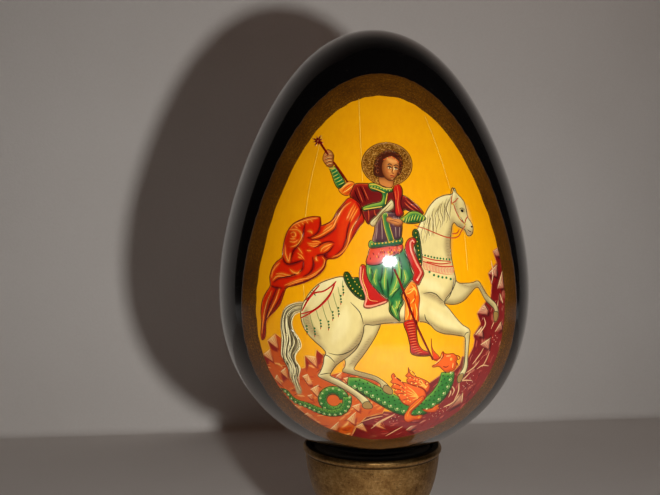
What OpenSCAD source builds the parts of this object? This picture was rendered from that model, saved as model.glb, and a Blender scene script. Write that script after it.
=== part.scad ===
// Painted wooden egg standing in a small turned brass cup.
// Millimetres, +Z up, origin at the middle of the stand's underside.
// The painted panel faces -Y.

/* [Egg] */
// Height of the egg from blunt end to tip
egg_height = 111; // [80:1:140]
// Width of the egg at its fullest
egg_width = 81; // [60:1:100]
// Offset of the egg curve, which moves the fullest part below the middle
egg_bias = 8.4; // [4:0.1:12]
// Slimming of the pointed half and filling of the blunt half
egg_taper = 0.09; // [0:0.01:0.14]

/* [Coats] */
// Thickness of the white gesso ground over the wood
gesso_t = 0.8; // [0.4:0.1:1.5]
// Thickness of the black lacquer over the gesso
lacquer_t = 0.4; // [0.2:0.05:1]
// Thickness of the bronze powder border over the lacquer
gilt_t = 0.2; // [0.1:0.05:0.4]
// Thickness of the painted panel over the lacquer
paint_t = 0.2; // [0.1:0.05:0.4]

/* [Medallion] */
// Black left showing at each side of the border, measured straight across
side_margin = 8; // [5:0.5:12]
// Black left showing above the border
top_margin = 15.75; // [8:0.25:24]
// Black left showing below the border
bottom_margin = 5.75; // [4:0.25:10]
// Width of the border at its sides, measured straight across
band_side = 3.75; // [2:0.25:6]
// Width of the border at its top
band_top = 5.75; // [2:0.25:8]
// Width of the border at its bottom
band_bottom = 3.75; // [2:0.25:6]

/* [Cup] */
// Height of the cup's lip above the table
lip_height = 50; // [46:0.5:80]
// Diameter of the bead round the lip
lip_d = 36.8; // [30:0.2:48]
// Height of the bead round the lip
bead_h = 1.8; // [1:0.1:3]
// How far the bead stands out from the bowl's wall
bead_proud = 0.8; // [0.3:0.1:1.5]
// Depth of the bowl outside, from the lip to the neck
bowl_depth = 22; // [20:0.5:26]
// Diameter of the neck under the bowl
neck_d = 10; // [9:0.5:14]
// Thickness of the bowl's wall round the seat ring
bowl_wall = 1.8; // [1:0.1:3]
// Depth of the recess below the lip
recess_depth = 5; // [4:0.1:7]
// Diameter of the well under the recess
well_d = 14; // [12:0.5:18]
// Depth of the well below the lip
well_depth = 11; // [9:0.5:12]

/* [Seat ring] */
// How far the egg's blunt end hangs below the lip
egg_dip = 2; // [1.5:0.1:3]
// Gap from the top of the ring down from the lip
ring_sink = 0.6; // [0.2:0.1:1]
// Clearance between the ring and the recess wall
ring_gap = 0.2; // [0.1:0.05:0.5]
// Clearance between the ring and the egg
egg_gap = 0.2; // [0.1:0.05:0.5]

/* [Stem and foot] */
// Diameter of the stem's knop
knop_d = 19; // [14:0.5:24]
// Diameter of the stem at its ends
stem_d = 13; // [11:0.5:16]
// Height of the flat disc at each end of the stem
disc_h = 1.4; // [1:0.1:2]
// Diameter of the foot
foot_d = 54; // [44:1:70]
// Height of the foot, with its pad
foot_h = 14; // [11:0.5:17]
// Height of the foot's straight edge
foot_edge_h = 2.4; // [1.5:0.1:4]
// Thickness of the felt pad under the foot
pad_t = 1.2; // [0.8:0.1:2]
// How far the pad is set in from the foot's edge
pad_inset = 1; // [0.5:0.5:3]

/* [Stud and nut] */
// Diameter of the threaded stud that clamps the stand together
stud_d = 5; // [4:0.5:6]
// Radial clearance of the stud in the stem and foot
stud_gap = 0.2; // [0.1:0.05:0.4]
// How far the stud screws up into the bowl
stud_grip = 6; // [4:0.5:7]
// Nut size across flats
nut_flats = 8; // [7:0.5:10]
// Thickness of the nut
nut_h = 3.6; // [3:0.1:5]
// Diameter of the washer
washer_d = 11; // [10:0.5:13]
// Thickness of the washer
washer_t = 1; // [0.6:0.1:1.5]
// Length of stud left showing below the nut
stud_tail = 0.8; // [0.2:0.1:1.2]
// Clearance round the washer in its pocket under the foot
pocket_gap = 1.5; // [1:0.5:3]

/* [Hidden] */

// Steps along the egg's curve, a medallion outline and a moulding on the stand
egg_steps = 64;
outline_steps = 56;
moulding_steps = 20;
// Depth that cuts run past a face
over = 1;
// Facets of round pieces, which the solids turn into true circles
$fn = 96;

// Heights up the stand
neck_z = lip_height - bowl_depth;
wall_r = lip_d / 2 - bead_proud;
pocket_r = washer_d / 2 + pocket_gap;
nut_z = pad_t + stud_tail;
washer_z = nut_z + nut_h;
pocket_top = washer_z + washer_t;
stud_top = neck_z + stud_grip;
egg_z = lip_height - egg_dip + egg_height / 2;
ring_bore_r = well_d / 2;
recess_r = wall_r - bowl_wall;
ring_r = recess_r - ring_gap;
ring_floor = lip_height - recess_depth;
ring_top = lip_height - ring_sink;

// Border and panel, as heights from the egg's middle
border_top = egg_height / 2 - top_margin;
border_bottom = bottom_margin - egg_height / 2;
border_width = egg_width - 2 * side_margin;
panel_top = border_top - band_top;
panel_bottom = border_bottom + band_bottom;
panel_width = border_width - 2 * band_side;

// Radius of the egg curve at height z from its middle, for a curve of the given height and unit width
function raw_r(z, height) =
    let (bias = egg_bias * height / egg_height, s = 2 * z / height)
    sqrt(max(0, height * height - 4 * z * z) / (height * height + 8 * bias * z + 4 * bias * bias))
    * (1 - egg_taper * s * (1 - s * s));

// Heights along the curve, closer together towards its ends
function egg_zs(height, steps) = [for (i = [0:steps]) height / 2 * sin(180 * i / steps - 90)];

// Half outline of an egg, from the blunt end to the tip
function egg_half(height, width, steps) =
    let (zs = egg_zs(height, steps), rs = [for (z = zs) raw_r(z, height)], fullest = max(rs))
    [for (i = [0:steps]) [rs[i] / fullest * width / 2, zs[i]]];

// Full outline of an egg, both sides
function egg_outline(height, width) =
    let (half = egg_half(height, width, outline_steps / 2), last = len(half) - 1)
    concat(half, [for (i = [1:last - 1]) [-half[last - i][0], half[last - i][1]]]);

// Solid egg, larger all over by grow
module egg_solid(grow = 0) {
    translate([0, 0, egg_z])
        rotate_extrude()
            polygon(egg_half(egg_height + 2 * grow, egg_width + 2 * grow, egg_steps));
}

// Prism of an egg outline that runs out through the egg's front
module outline_prism(top, bottom, width) {
    translate([0, 0, egg_z + (top + bottom) / 2])
        rotate([90, 0, 0])
            linear_extrude(egg_width)
                polygon(egg_outline(top - bottom, width));
}

module wood_core() {
    color("burlywood") egg_solid(-gesso_t - lacquer_t);
}

module gesso_coat() {
    color("ivory") difference() {
        egg_solid(-lacquer_t);
        egg_solid(-gesso_t - lacquer_t);
    }
}

module lacquer_coat() {
    color("black") difference() {
        egg_solid();
        egg_solid(-lacquer_t);
    }
}

// Skin on the egg's front, from its surface out to t, inside one outline
module front_skin(t, top, bottom, width) {
    intersection() {
        difference() {
            egg_solid(t);
            egg_solid();
        }
        outline_prism(top, bottom, width);
    }
}

module gilt_border() {
    color("darkgoldenrod") difference() {
        front_skin(gilt_t, border_top, border_bottom, border_width);
        outline_prism(panel_top, panel_bottom, panel_width);
    }
}

module painted_panel() {
    color("orange") front_skin(paint_t, panel_top, panel_bottom, panel_width);
}

// Felt ring whose bore is dished to the egg's blunt end
module seat_ring() {
    color("dimgray") difference() {
        translate([0, 0, ring_floor]) cylinder(r = ring_r, h = ring_top - ring_floor);
        translate([0, 0, ring_floor - over]) cylinder(r = ring_bore_r, h = recess_depth + over);
        egg_solid(egg_gap);
    }
}

// Outside of the bowl, a quarter of an ellipse from the wall down to the neck
function bowl_curve() =
    let (neck_r = neck_d / 2, wide = wall_r - neck_r)
    [for (i = [0:moulding_steps]) let (a = 90 * i / moulding_steps)
        [neck_r + wide * sin(a), lip_height - bowl_depth * cos(a)]];

module cup_bowl() {
    bead_r = bead_h / 2;
    color("goldenrod") difference() {
        union() {
            rotate_extrude() polygon(concat([[0, neck_z]], bowl_curve(), [[0, lip_height]]));
            // Bead round the lip
            translate([0, 0, lip_height - bead_h]) cylinder(d = lip_d - 2 * bead_r, h = bead_h);
            rotate_extrude() translate([lip_d / 2 - bead_r, lip_height - bead_r]) circle(bead_r);
        }
        translate([0, 0, ring_floor]) cylinder(r = recess_r, h = recess_depth + over);
        translate([0, 0, lip_height - well_depth]) cylinder(d = well_d, h = well_depth);
        // Tapped hole for the stud
        translate([0, 0, neck_z - over]) cylinder(d = stud_d, h = stud_grip + over);
    }
}

// Swelling from stem to knop and back
function knop_curve() =
    let (low = foot_h + disc_h, tall = neck_z - disc_h - low)
    [for (i = [0:moulding_steps]) let (u = i / moulding_steps)
        [(stem_d - 2 * disc_h) / 2 + (knop_d - stem_d + 2 * disc_h) / 2 * pow(sin(180 * u), 2),
         low + tall * u]];

module stem_baluster() {
    curve = knop_curve();
    color("goldenrod") difference() {
        union() {
            rotate_extrude() polygon(concat([[0, curve[0][1]]], curve, [[0, curve[moulding_steps][1]]]));
            translate([0, 0, foot_h]) cylinder(d = stem_d, h = disc_h);
            translate([0, 0, neck_z - disc_h]) cylinder(d = stem_d, h = disc_h);
        }
        translate([0, 0, foot_h - over])
            cylinder(r = stud_d / 2 + stud_gap, h = neck_z - foot_h + 2 * over);
    }
}

// Top of the foot, a hollow quarter ellipse from the edge up to the stem
function foot_curve() =
    let (edge_z = pad_t + foot_edge_h, rise = foot_h - edge_z, run = foot_d / 2 - foot_edge_h - stem_d / 2)
    [for (i = [0:moulding_steps]) let (a = 90 * i / moulding_steps)
        [stem_d / 2 + run * (1 - sin(a)), edge_z + rise * (1 - cos(a))]];

module foot() {
    color("goldenrod") difference() {
        union() {
            rotate_extrude() polygon(concat([[0, pad_t + foot_edge_h]], foot_curve(), [[0, foot_h]]));
            translate([0, 0, pad_t]) cylinder(d = foot_d, h = foot_edge_h);
        }
        // Hole for the stud, and the pocket for its nut and washer
        translate([0, 0, pocket_top - over])
            cylinder(r = stud_d / 2 + stud_gap, h = foot_h - pocket_top + 2 * over);
        translate([0, 0, pad_t - over]) cylinder(r = pocket_r, h = pocket_top - pad_t + over);
    }
}

module stem_stud() {
    color("silver") translate([0, 0, pad_t]) cylinder(d = stud_d, h = stud_top - pad_t);
}

module foot_nut() {
    color("silver") translate([0, 0, nut_z]) difference() {
        cylinder(d = nut_flats / cos(30), h = nut_h, $fn = 6);
        translate([0, 0, -over]) cylinder(d = stud_d, h = nut_h + 2 * over);
    }
}

module washer() {
    color("gainsboro") translate([0, 0, washer_z]) difference() {
        cylinder(d = washer_d, h = washer_t);
        translate([0, 0, -over]) cylinder(r = stud_d / 2 + stud_gap, h = washer_t + 2 * over);
    }
}

module felt_pad() {
    color("darkgreen") cylinder(r = foot_d / 2 - pad_inset, h = pad_t);
}

wood_core();
gesso_coat();
lacquer_coat();
gilt_border();
painted_panel();
seat_ring();
cup_bowl();
stem_baluster();
foot();
stem_stud();
foot_nut();
washer();
felt_pad();
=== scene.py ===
import math

import bpy
import numpy as np
from mathutils import Euler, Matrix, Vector


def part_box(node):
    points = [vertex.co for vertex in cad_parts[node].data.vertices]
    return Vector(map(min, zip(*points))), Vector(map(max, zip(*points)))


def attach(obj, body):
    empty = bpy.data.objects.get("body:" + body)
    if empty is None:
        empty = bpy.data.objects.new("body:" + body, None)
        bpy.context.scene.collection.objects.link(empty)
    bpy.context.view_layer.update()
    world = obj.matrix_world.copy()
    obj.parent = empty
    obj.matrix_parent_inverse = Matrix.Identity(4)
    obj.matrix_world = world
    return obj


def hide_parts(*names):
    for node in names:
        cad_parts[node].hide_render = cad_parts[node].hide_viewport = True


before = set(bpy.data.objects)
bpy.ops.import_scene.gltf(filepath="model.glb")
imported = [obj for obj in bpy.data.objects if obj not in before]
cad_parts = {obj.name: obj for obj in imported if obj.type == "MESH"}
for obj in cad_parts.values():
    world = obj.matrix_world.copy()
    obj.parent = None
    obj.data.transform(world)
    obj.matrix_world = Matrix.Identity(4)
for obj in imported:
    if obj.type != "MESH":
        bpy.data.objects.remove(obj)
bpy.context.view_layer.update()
mm = 0.001

eggLow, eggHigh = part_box("lacquer_coat")
egg = {
    "height": eggHigh.z - eggLow.z,
    "width": eggHigh.x - eggLow.x,
    "middle": (eggHigh.z + eggLow.z) / 2,
    "bias": 8.4 * mm,       # moves the fullest part below the middle
    "taper": 0.09,          # slims the pointed half
    "segments": 208,
    "rings": 144,
}


def rawRadius(z, height):
    bias = egg["bias"] * height / egg["height"]
    s = 2 * z / height
    square = np.maximum(0, height ** 2 - 4 * z * z)
    return np.sqrt(square / (height ** 2 + 8 * bias * z + 4 * bias * bias)) * (1 - egg["taper"] * s
                                                                               * (1 - s * s))


def fullest(height):
    return rawRadius(np.linspace(-height / 2, height / 2, 2001), height).max()


def eggRadius(z, height=egg["height"], width=egg["width"]):
    # radius at height z from the middle of an egg curve of this height and width
    return rawRadius(z, height) / fullest(height) * width / 2


def onEgg(x, z, lift=0.0):
    # points of the egg's front that lie straight behind (x, z), raised by lift
    radius = eggRadius(z)
    y = -np.sqrt(np.maximum(1e-12, radius ** 2 - x * x))
    step = 0.02 * mm
    slope = (eggRadius(z + step) - eggRadius(z - step)) / (2 * step)
    normal = np.stack([x / radius, y / radius, -slope], -1)
    normal /= np.linalg.norm(normal, axis=-1, keepdims=True)
    return np.stack([x, y, z + egg["middle"]], -1) + normal * np.asarray(lift)[..., None]


def toLinear(colour):
    c = np.asarray(colour, float)
    return np.where(c <= 0.04045, c / 12.92, ((c + 0.055) / 1.055) ** 2.4)


def rgb(red, green, blue):
    return tuple(toLinear((red / 255, green / 255, blue / 255))) + (1.0,)


class Wire:
    # an output socket that takes part in ordinary arithmetic
    def __init__(self, tree, socket):
        self.tree, self.socket = tree, socket

    def calc(self, operation, *others):
        return self.tree.node("Math", {"operation": operation}, dict(enumerate((self,) + others)))

    def __add__(self, other):
        return self.calc("ADD", other)

    def __sub__(self, other):
        return self.calc("SUBTRACT", other)

    def __rsub__(self, other):
        return self.tree.node("Math", {"operation": "SUBTRACT"}, {0: other, 1: self})

    def __mul__(self, other):
        return self.calc("MULTIPLY", other)

    def __truediv__(self, other):
        return self.calc("DIVIDE", other)

    __radd__ = __add__
    __rmul__ = __mul__


class Tree:
    # builds a shader tree or a geometry tree, one node at a call
    def __init__(self, tree):
        self.tree = tree

    def node(self, kind, settings=None, inputs=None, output=0):
        full = kind if kind.startswith(("Shader", "Geometry", "Function",
                                        "NodeGroup")) else "ShaderNode" + kind
        made = self.tree.nodes.new(full)
        for name, value in (settings or {}).items():
            if name == "stops":
                self.setStops(made.color_ramp, value)
            else:
                setattr(made, name, value)
        for key, value in (inputs or {}).items():
            socket = made.inputs[key]
            if isinstance(value, Wire):
                self.tree.links.new(value.socket, socket)
            else:
                socket.default_value = value
        return Wire(self, made.outputs[output])

    def setStops(self, ramp, stops):
        while len(ramp.elements) < len(stops):
            ramp.elements.new(1.0)
        for element, (place, colour) in zip(ramp.elements, stops):
            element.position = place
            element.color = colour if len(colour) == 4 else (*colour, 1)


class Finish(Tree):
    # a material with one Principled shader
    def __init__(self, name, **fixed):
        self.material = bpy.data.materials.new(name)
        self.material.use_nodes = True
        super().__init__(self.material.node_tree)
        self.shader = self.tree.nodes["Principled BSDF"]
        for key, value in fixed.items():
            self.shader.inputs[key.replace("_", " ")].default_value = value

    def place(self, scale=(1, 1, 1), offset=(0, 0, 0)):
        spot = self.node("TexCoord", output="Object")
        return self.node("Mapping", inputs={"Vector": spot, "Location": offset, "Scale": scale})

    def noise(self, vector, scale, detail=3, rough=0.5):
        return self.node("TexNoise", inputs={"Vector": vector, "Scale": scale, "Detail": detail,
                          "Roughness": rough})

    def ramp(self, value, stops, smooth="LINEAR"):
        wire = self.node("ValToRGB", {"stops": stops}, {"Fac": value})
        wire.socket.node.color_ramp.interpolation = smooth
        return wire

    def step(self, value, low, high):
        return self.node("MapRange", {"interpolation_type": "SMOOTHSTEP"}, {0: value, 1: low, 2: high})

    def mix(self, factor, a, b, how="MIX"):
        return self.node("Mix", {"data_type": "RGBA", "blend_type": how}, {0: factor, 6: a, 7: b}, output=2)

    def bump(self, height, strength, distance):
        return self.node("Bump", inputs={"Height": height, "Strength": strength, "Distance": distance})

    def connect(self, **wires):
        for key, wire in wires.items():
            self.tree.links.new(wire.socket, self.shader.inputs[key.replace("_", " ")])
        return self.material


def meshPiece(name, points, faces, material, body, smooth=True, ride=True):
    mesh = bpy.data.meshes.new(name)
    mesh.from_pydata([tuple(p) for p in points], [], faces)
    mesh.validate()
    mesh.polygons.foreach_set("use_smooth", [smooth] * len(mesh.polygons))
    mesh.materials.append(material)
    mesh.update()
    made = bpy.data.objects.new(name, mesh)
    bpy.context.scene.collection.objects.link(made)
    if ride:
        finishPiece(made, body)
    return made


def finishPiece(made, body):
    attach(made, body)


def cornerLayer(mesh, name, perPoint):
    # a UV map from one pair for each point
    loops = np.zeros(len(mesh.loops), np.int32)
    mesh.loops.foreach_get("vertex_index", loops)
    layer = mesh.uv_layers.new(name=name)
    layer.data.foreach_set("uv", perPoint[loops].astype(np.float32).ravel())


def turned(name, profile, material, body, segments=160, ride=True):
    # a lathe piece from (radius, height) pairs that start and end on the axis
    profile = np.asarray(profile, float)
    angles = np.arange(segments) * 2 * math.pi / segments
    inner = profile[1:-1]
    rings = np.stack([inner[:, None, 0] * np.cos(angles), inner[:, None, 0] * np.sin(angles),
                      np.broadcast_to(inner[:, None, 1], (len(inner), segments))], -1).reshape(-1, 3)
    points = [(0, 0, profile[0, 1])] + rings.tolist() + [(0, 0, profile[-1, 1])]
    last, faces = len(points) - 1, []
    for k in range(segments):
        after = (k + 1) % segments
        faces.append((0, 1 + after, 1 + k))
        for row in range(len(inner) - 1):
            low, high = 1 + row * segments, 1 + (row + 1) * segments
            faces.append((low + k, low + after, high + after, high + k))
        top = 1 + (len(inner) - 1) * segments
        faces.append((top + k, top + after, last))
    return meshPiece(name, points, faces, material, body, ride=ride)


def arc(centreR, centreZ, radius, start, end, count=10):
    turn = np.radians(np.linspace(start, end, count))
    return [(centreR + radius * math.cos(t), centreZ + radius * math.sin(t)) for t in turn]


class GeoTree(Tree):
    def __init__(self, name):
        super().__init__(bpy.data.node_groups.new(name, "GeometryNodeTree"))
        self.tree.interface.new_socket("Geometry", in_out="OUTPUT", socket_type="NodeSocketGeometry")
        self.tree.interface.new_socket("Geometry", in_out="INPUT", socket_type="NodeSocketGeometry")
        self.groupIn = None
        self.names = {}

    def inputs(self, **kinds):
        for name, kind in kinds.items():
            self.tree.interface.new_socket(name, in_out="INPUT", socket_type="NodeSocket" + kind)
        self.groupIn = self.tree.nodes.new("NodeGroupInput")

    def given(self, name):
        return Wire(self, self.groupIn.outputs[name])

    def output(self, geometry, material):
        real = self.node("GeometryNodeRealizeInstances", inputs={0: geometry})
        done = self.node("GeometryNodeSetMaterial", inputs={"Geometry": real, "Material": material})
        out = self.tree.nodes.new("NodeGroupOutput")
        self.tree.links.new(done.socket, out.inputs[0])

    def run(self, name, base, values):
        # evaluates the tree on a base mesh and returns the result as a plain mesh object
        holder = bpy.data.objects.new(name + "Source", base)
        bpy.context.scene.collection.objects.link(holder)
        modifier = holder.modifiers.new("shape", "NODES")
        modifier.node_group = self.tree
        for item in self.tree.interface.items_tree:
            if item.in_out == "INPUT" and item.name in values:
                modifier[item.identifier] = values[item.name]
        bpy.context.view_layer.update()
        depsgraph = bpy.context.evaluated_depsgraph_get()
        mesh = bpy.data.meshes.new_from_object(holder.evaluated_get(depsgraph), depsgraph=depsgraph)
        holder.modifiers.remove(modifier)
        bpy.data.objects.remove(holder)
        mesh.name = name
        made = bpy.data.objects.new(name, mesh)
        bpy.context.scene.collection.objects.link(made)
        return made


def eggRadiusNodes(tree, z):
    # the egg curve's radius as nodes: z is the height from the middle, in metres
    height, bias = tree.given("Height"), tree.given("Bias")
    s = z * 2 / height
    rest = 1 - s * s
    square = (height * height * rest) / (height * height + bias * z * 8 + bias * bias * 4)
    root = square.calc("MAXIMUM", 0.0).calc("SQRT")
    return root * (1 - tree.given("Taper") * s * rest) / tree.given("Fullest") * tree.given("Width") / 2


eggInputs = {"Height": "Float", "Width": "Float", "Middle": "Float", "Bias": "Float", "Taper": "Float",
             "Fullest": "Float"}
eggValues = {"Height": egg["height"], "Width": egg["width"], "Middle": egg["middle"], "Bias": egg["bias"],
             "Taper": egg["taper"], "Fullest": float(fullest(egg["height"]))}


def makeEggTree():
    tree = GeoTree("eggShape")
    tree.inputs(**eggInputs, Segments="Int", Rings="Int", Material="Material")
    ball = tree.node("GeometryNodeMeshUVSphere", inputs={"Segments": tree.given("Segments"),
                                                         "Rings": tree.given("Rings"), "Radius": 1.0})
    position = tree.node("GeometryNodeInputPosition")
    z = tree.node("SeparateXYZ", inputs={0: position}, output=2) * tree.given("Height") / 2
    flat = tree.node("VectorMath", {"operation": "MULTIPLY"}, {0: position, 1: (1, 1, 0)})
    unit = tree.node("VectorMath", {"operation": "NORMALIZE"}, {0: flat})
    wide = tree.node("VectorMath", {"operation": "SCALE"}, {0: unit, "Scale": eggRadiusNodes(tree, z)})
    up = tree.node("CombineXYZ", inputs={2: z + tree.given("Middle")})
    place = tree.node("VectorMath", {"operation": "ADD"}, {0: wide, 1: up})
    shaped = tree.node("GeometryNodeSetPosition", inputs={"Geometry": ball, "Position": place})
    smooth = tree.node("GeometryNodeSetShadeSmooth", inputs={"Geometry": shaped})
    tree.output(smooth, tree.given("Material"))
    return tree


view = {
    "distance": 202.8 * mm,     # from the egg's axis to the lens
    "azimuth": -4.0,            # degrees round from the panel's front, towards -X
    "rise": 1.5 * mm,           # above the egg's middle
    "pan": 0.83,                # heading, clockwise from +Y
    "tilt": 0.85,               # downwards
    "lens": 41.45,
    "wall": 215 * mm,           # backdrop behind the axis
    "skew": 0.11,               # how much further away it is for each step to the right
    "cove": 4 * mm,
    "reach": 2.0,               # half width of the floor
    "left": -0.36, "right": 0.42,       # ends of the backdrop
}


def makeCamera():
    turn = math.radians(view["azimuth"])
    data = bpy.data.cameras.new("camera")
    data.lens, data.sensor_width, data.clip_start = view["lens"], 36, 0.01
    camera = bpy.data.objects.new("camera", data)
    camera.location = (view["distance"] * math.sin(turn), -view["distance"] * math.cos(turn),
                       egg["middle"] + view["rise"])
    camera.rotation_euler = Euler((math.radians(90 - view["tilt"]), 0, -math.radians(view["pan"])))
    bpy.context.scene.collection.objects.link(camera)
    bpy.context.scene.camera = camera
    return camera


def paleCloth(name, oneSided):
    cloth = Finish(name, Roughness=0.9, Specular_IOR_Level=0.1)
    spot = cloth.place()
    weave = cloth.noise(spot, 900, 2, 0.6)
    creases = cloth.noise(spot, 7, 3, 0.55)
    # painted shade and highlight: the cloth's colour follows its crease bump, darker in the hollows, lighter
    # on the ridges
    tone = cloth.ramp(creases * 0.75 + weave * 0.25, [(0.3, rgb(232, 228, 225)), (0.7, rgb(243, 240, 238))])
    cloth.connect(Base_Color=tone, Normal=cloth.bump(creases * 0.8 + weave * 0.2, 0.3, 0.001))
    if oneSided:        # so that the object shows from behind the backdrop too
        behind = cloth.node("NewGeometry", output="Backfacing")
        shown = cloth.node("MixShader", inputs={0: behind, 1: Wire(cloth, cloth.shader.outputs[0]),
                                                2: cloth.node("BsdfTransparent")})
        cloth.tree.links.new(shown.socket, cloth.tree.nodes["Material Output"].inputs["Surface"])
    return cloth.material


def makeStage():
    far, cove, reach = view["wall"], view["cove"], view["reach"]
    corners = [(-reach, -reach, 0), (reach, -reach, 0), (reach, reach, 0), (-reach, reach, 0)]
    floor = meshPiece("floor", corners, [(0, 1, 2, 3)], paleCloth("tableCloth", False), None,
                      ride=False)
    profile = [(far - cove + cove * math.sin(t), 0.0001 + cove - cove * math.cos(t))
               for t in np.linspace(0, math.pi / 2, 12)] + [(far, 1.2)]
    points = [(x, y + x * view["skew"], z) for y, z in profile for x in (view["left"], view["right"])]
    faces = [(2 * k, 2 * k + 1, 2 * k + 3, 2 * k + 2) for k in range(len(profile) - 1)]
    wall = meshPiece("backdrop", points, faces, paleCloth("backdropCloth", True), None, ride=False)


def areaLight(name, place, target, size, watts, colour=(1, 1, 1)):
    data = bpy.data.lights.new(name, "AREA")
    data.shape, data.size, data.energy, data.color = "DISK", size, watts, colour
    lamp = bpy.data.objects.new(name, data)
    lamp.location = place
    lamp.rotation_euler = (Vector(target) - Vector(place)).to_track_quat("-Z", "Y").to_euler()
    bpy.context.scene.collection.objects.link(lamp)
    return lamp


lights = {
    "keySize": 30 * mm, "keyWatts": 0.10,       # the small lamp that only the gloss shows
    "keyRight": 39 * mm, "keyUp": 29 * mm,      # from the lens
    "glowSizes": (46 * mm, 58 * mm, 72 * mm, 88 * mm, 106 * mm), "glowWatts": 0.011,    # the haze round it
    "flat": 0.42,                               # both are wider than they are tall
    "flashSize": 10 * mm, "flashWatts": 0.44,   # lights the paint and throws the shadow
    "flashRight": 46 * mm, "flashUp": -12 * mm,
    "washSize": 0.3, "washWatts": 0.035,        # over the backdrop
    "washPlace": (0.12, 0.02, 0.42), "washAim": (0.06, 0.12),
    "fillSize": 0.5, "fillWatts": 0.09, "fillPlace": (-0.5, -0.35, 0.7),
    "back": (("backRight", (0.4, 0.55, 0.4), 0.3, 0.75), ("backLeft", (-0.55, 0.45, 0.3), 0.25, 0.4)),
    "ambient": (1.0, 0.52, 0.32),
    "worldStrength": 0.026,
}


def makeLights(camera):
    middle = (0, 0, egg["middle"])
    spot = camera.location
    key = areaLight("key", (spot.x + lights["keyRight"], spot.y, spot.z + lights["keyUp"]), middle,
                    lights["keySize"], lights["keyWatts"], (1.0, 0.99, 0.97))
    glow = [areaLight("glow", (spot.x + lights["keyRight"] * 1.02, spot.y - 6 * mm,
              spot.z + lights["keyUp"] * 1.03), middle, size, lights["glowWatts"],
             (0.86, 0.91, 1.0)) for size in lights["glowSizes"]]
    for lamp in [key] + glow:
        lamp.visible_diffuse = False
        lamp.data.shape, lamp.data.size_y = "ELLIPSE", lamp.data.size * lights["flat"]
    flash = areaLight("flash", (spot.x + lights["flashRight"], spot.y, spot.z + lights["flashUp"]), middle,
                      lights["flashSize"], lights["flashWatts"], (1.0, 0.97, 0.92))
    aimX, aimZ = lights["washAim"]
    wash = areaLight("wallWash", lights["washPlace"], (aimX, view["wall"], aimZ), lights["washSize"],
                     lights["washWatts"], lights["ambient"])
    fill = areaLight("fill", lights["fillPlace"], middle, lights["fillSize"], lights["fillWatts"],
                     lights["ambient"])
    for lamp in (flash, wash, fill):
        lamp.visible_glossy = False
    for name, place, size, watts in lights["back"]:
        areaLight(name, place, middle, size, watts)
    world = bpy.data.worlds.new("softRoom")
    bpy.context.scene.world = world
    world.use_nodes = True
    room = Tree(world.node_tree)
    spot = room.node("TexCoord", output="Generated")
    height = room.node("SeparateXYZ", inputs={0: spot}, output=2)
    shade = room.node("ValToRGB", {"stops": [(0.0, rgb(126, 112, 100)), (0.45, rgb(126, 112, 100)),
                                             (0.62, rgb(50, 44, 40)), (1.0, rgb(76, 68, 62))]},
                      {"Fac": height * 0.5 + 0.5})
    background = world.node_tree.nodes["Background"]
    background.inputs["Strength"].default_value = lights["worldStrength"]
    world.node_tree.links.new(shade.socket, background.inputs["Color"])
    bpy.context.scene.view_settings.view_transform = "Standard"


def varnish(finish, thickness=0.00004):
    # slow unevenness of brushed clear varnish
    spot = finish.place()
    return finish.bump(finish.noise(spot, 55, 2, 0.4), 0.12, thickness)


def blackLacquer():
    finish = Finish("blackLacquer", Coat_Weight=1.0, Coat_Roughness=0.03, Coat_IOR=1.5,
                    Specular_IOR_Level=0.1)
    spot = finish.place()
    cloud = finish.noise(spot, 40, 4, 0.6)
    dust = finish.step(finish.noise(spot, 1500, 1, 0.5), 0.74, 0.80)
    rubs = finish.step(finish.noise(finish.place((1, 1, 0.12)), 420, 3, 0.7), 0.66, 0.78)
    base = finish.mix(cloud, rgb(4, 4, 5), rgb(10, 8, 8))
    dusty = finish.mix(dust * 0.5, base, rgb(70, 66, 62))
    finish.connect(Base_Color=dusty, Roughness=rubs * 0.16 + cloud * 0.1 + 0.12, Normal=varnish(finish))
    return finish.material


def bronzePowder():
    # bronze powder brushed on in short strokes under clear varnish
    finish = Finish("bronzePowder", Coat_Weight=1.0, Coat_Roughness=0.05, Specular_IOR_Level=0.3)
    around = finish.node("UVMap", {"uv_map": "OFBake"})
    strokes = finish.noise(finish.node("Mapping", inputs={"Vector": around, "Scale": (150, 16, 1)}), 1, 4,
                           0.7)
    spot = finish.place()
    speck = finish.noise(spot, 2600, 2, 0.6)
    cloud = finish.noise(spot, 90, 3, 0.6)
    sum3 = strokes * 0.4 + speck * 0.35 + cloud * 0.25
    tone = finish.ramp(sum3, [(0.36, rgb(36, 18, 2)), (0.45, rgb(74, 41, 5)), (0.54, rgb(108, 64, 10)),
                              (0.64, rgb(176, 122, 40))])
    finish.connect(Base_Color=tone, Metallic=finish.step(sum3, 0.42, 0.62) * 0.55 + 0.15,
                   Roughness=0.62 - strokes * 0.2, Normal=finish.bump(speck + strokes, 0.35, 0.00005))
    return finish.material


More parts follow.
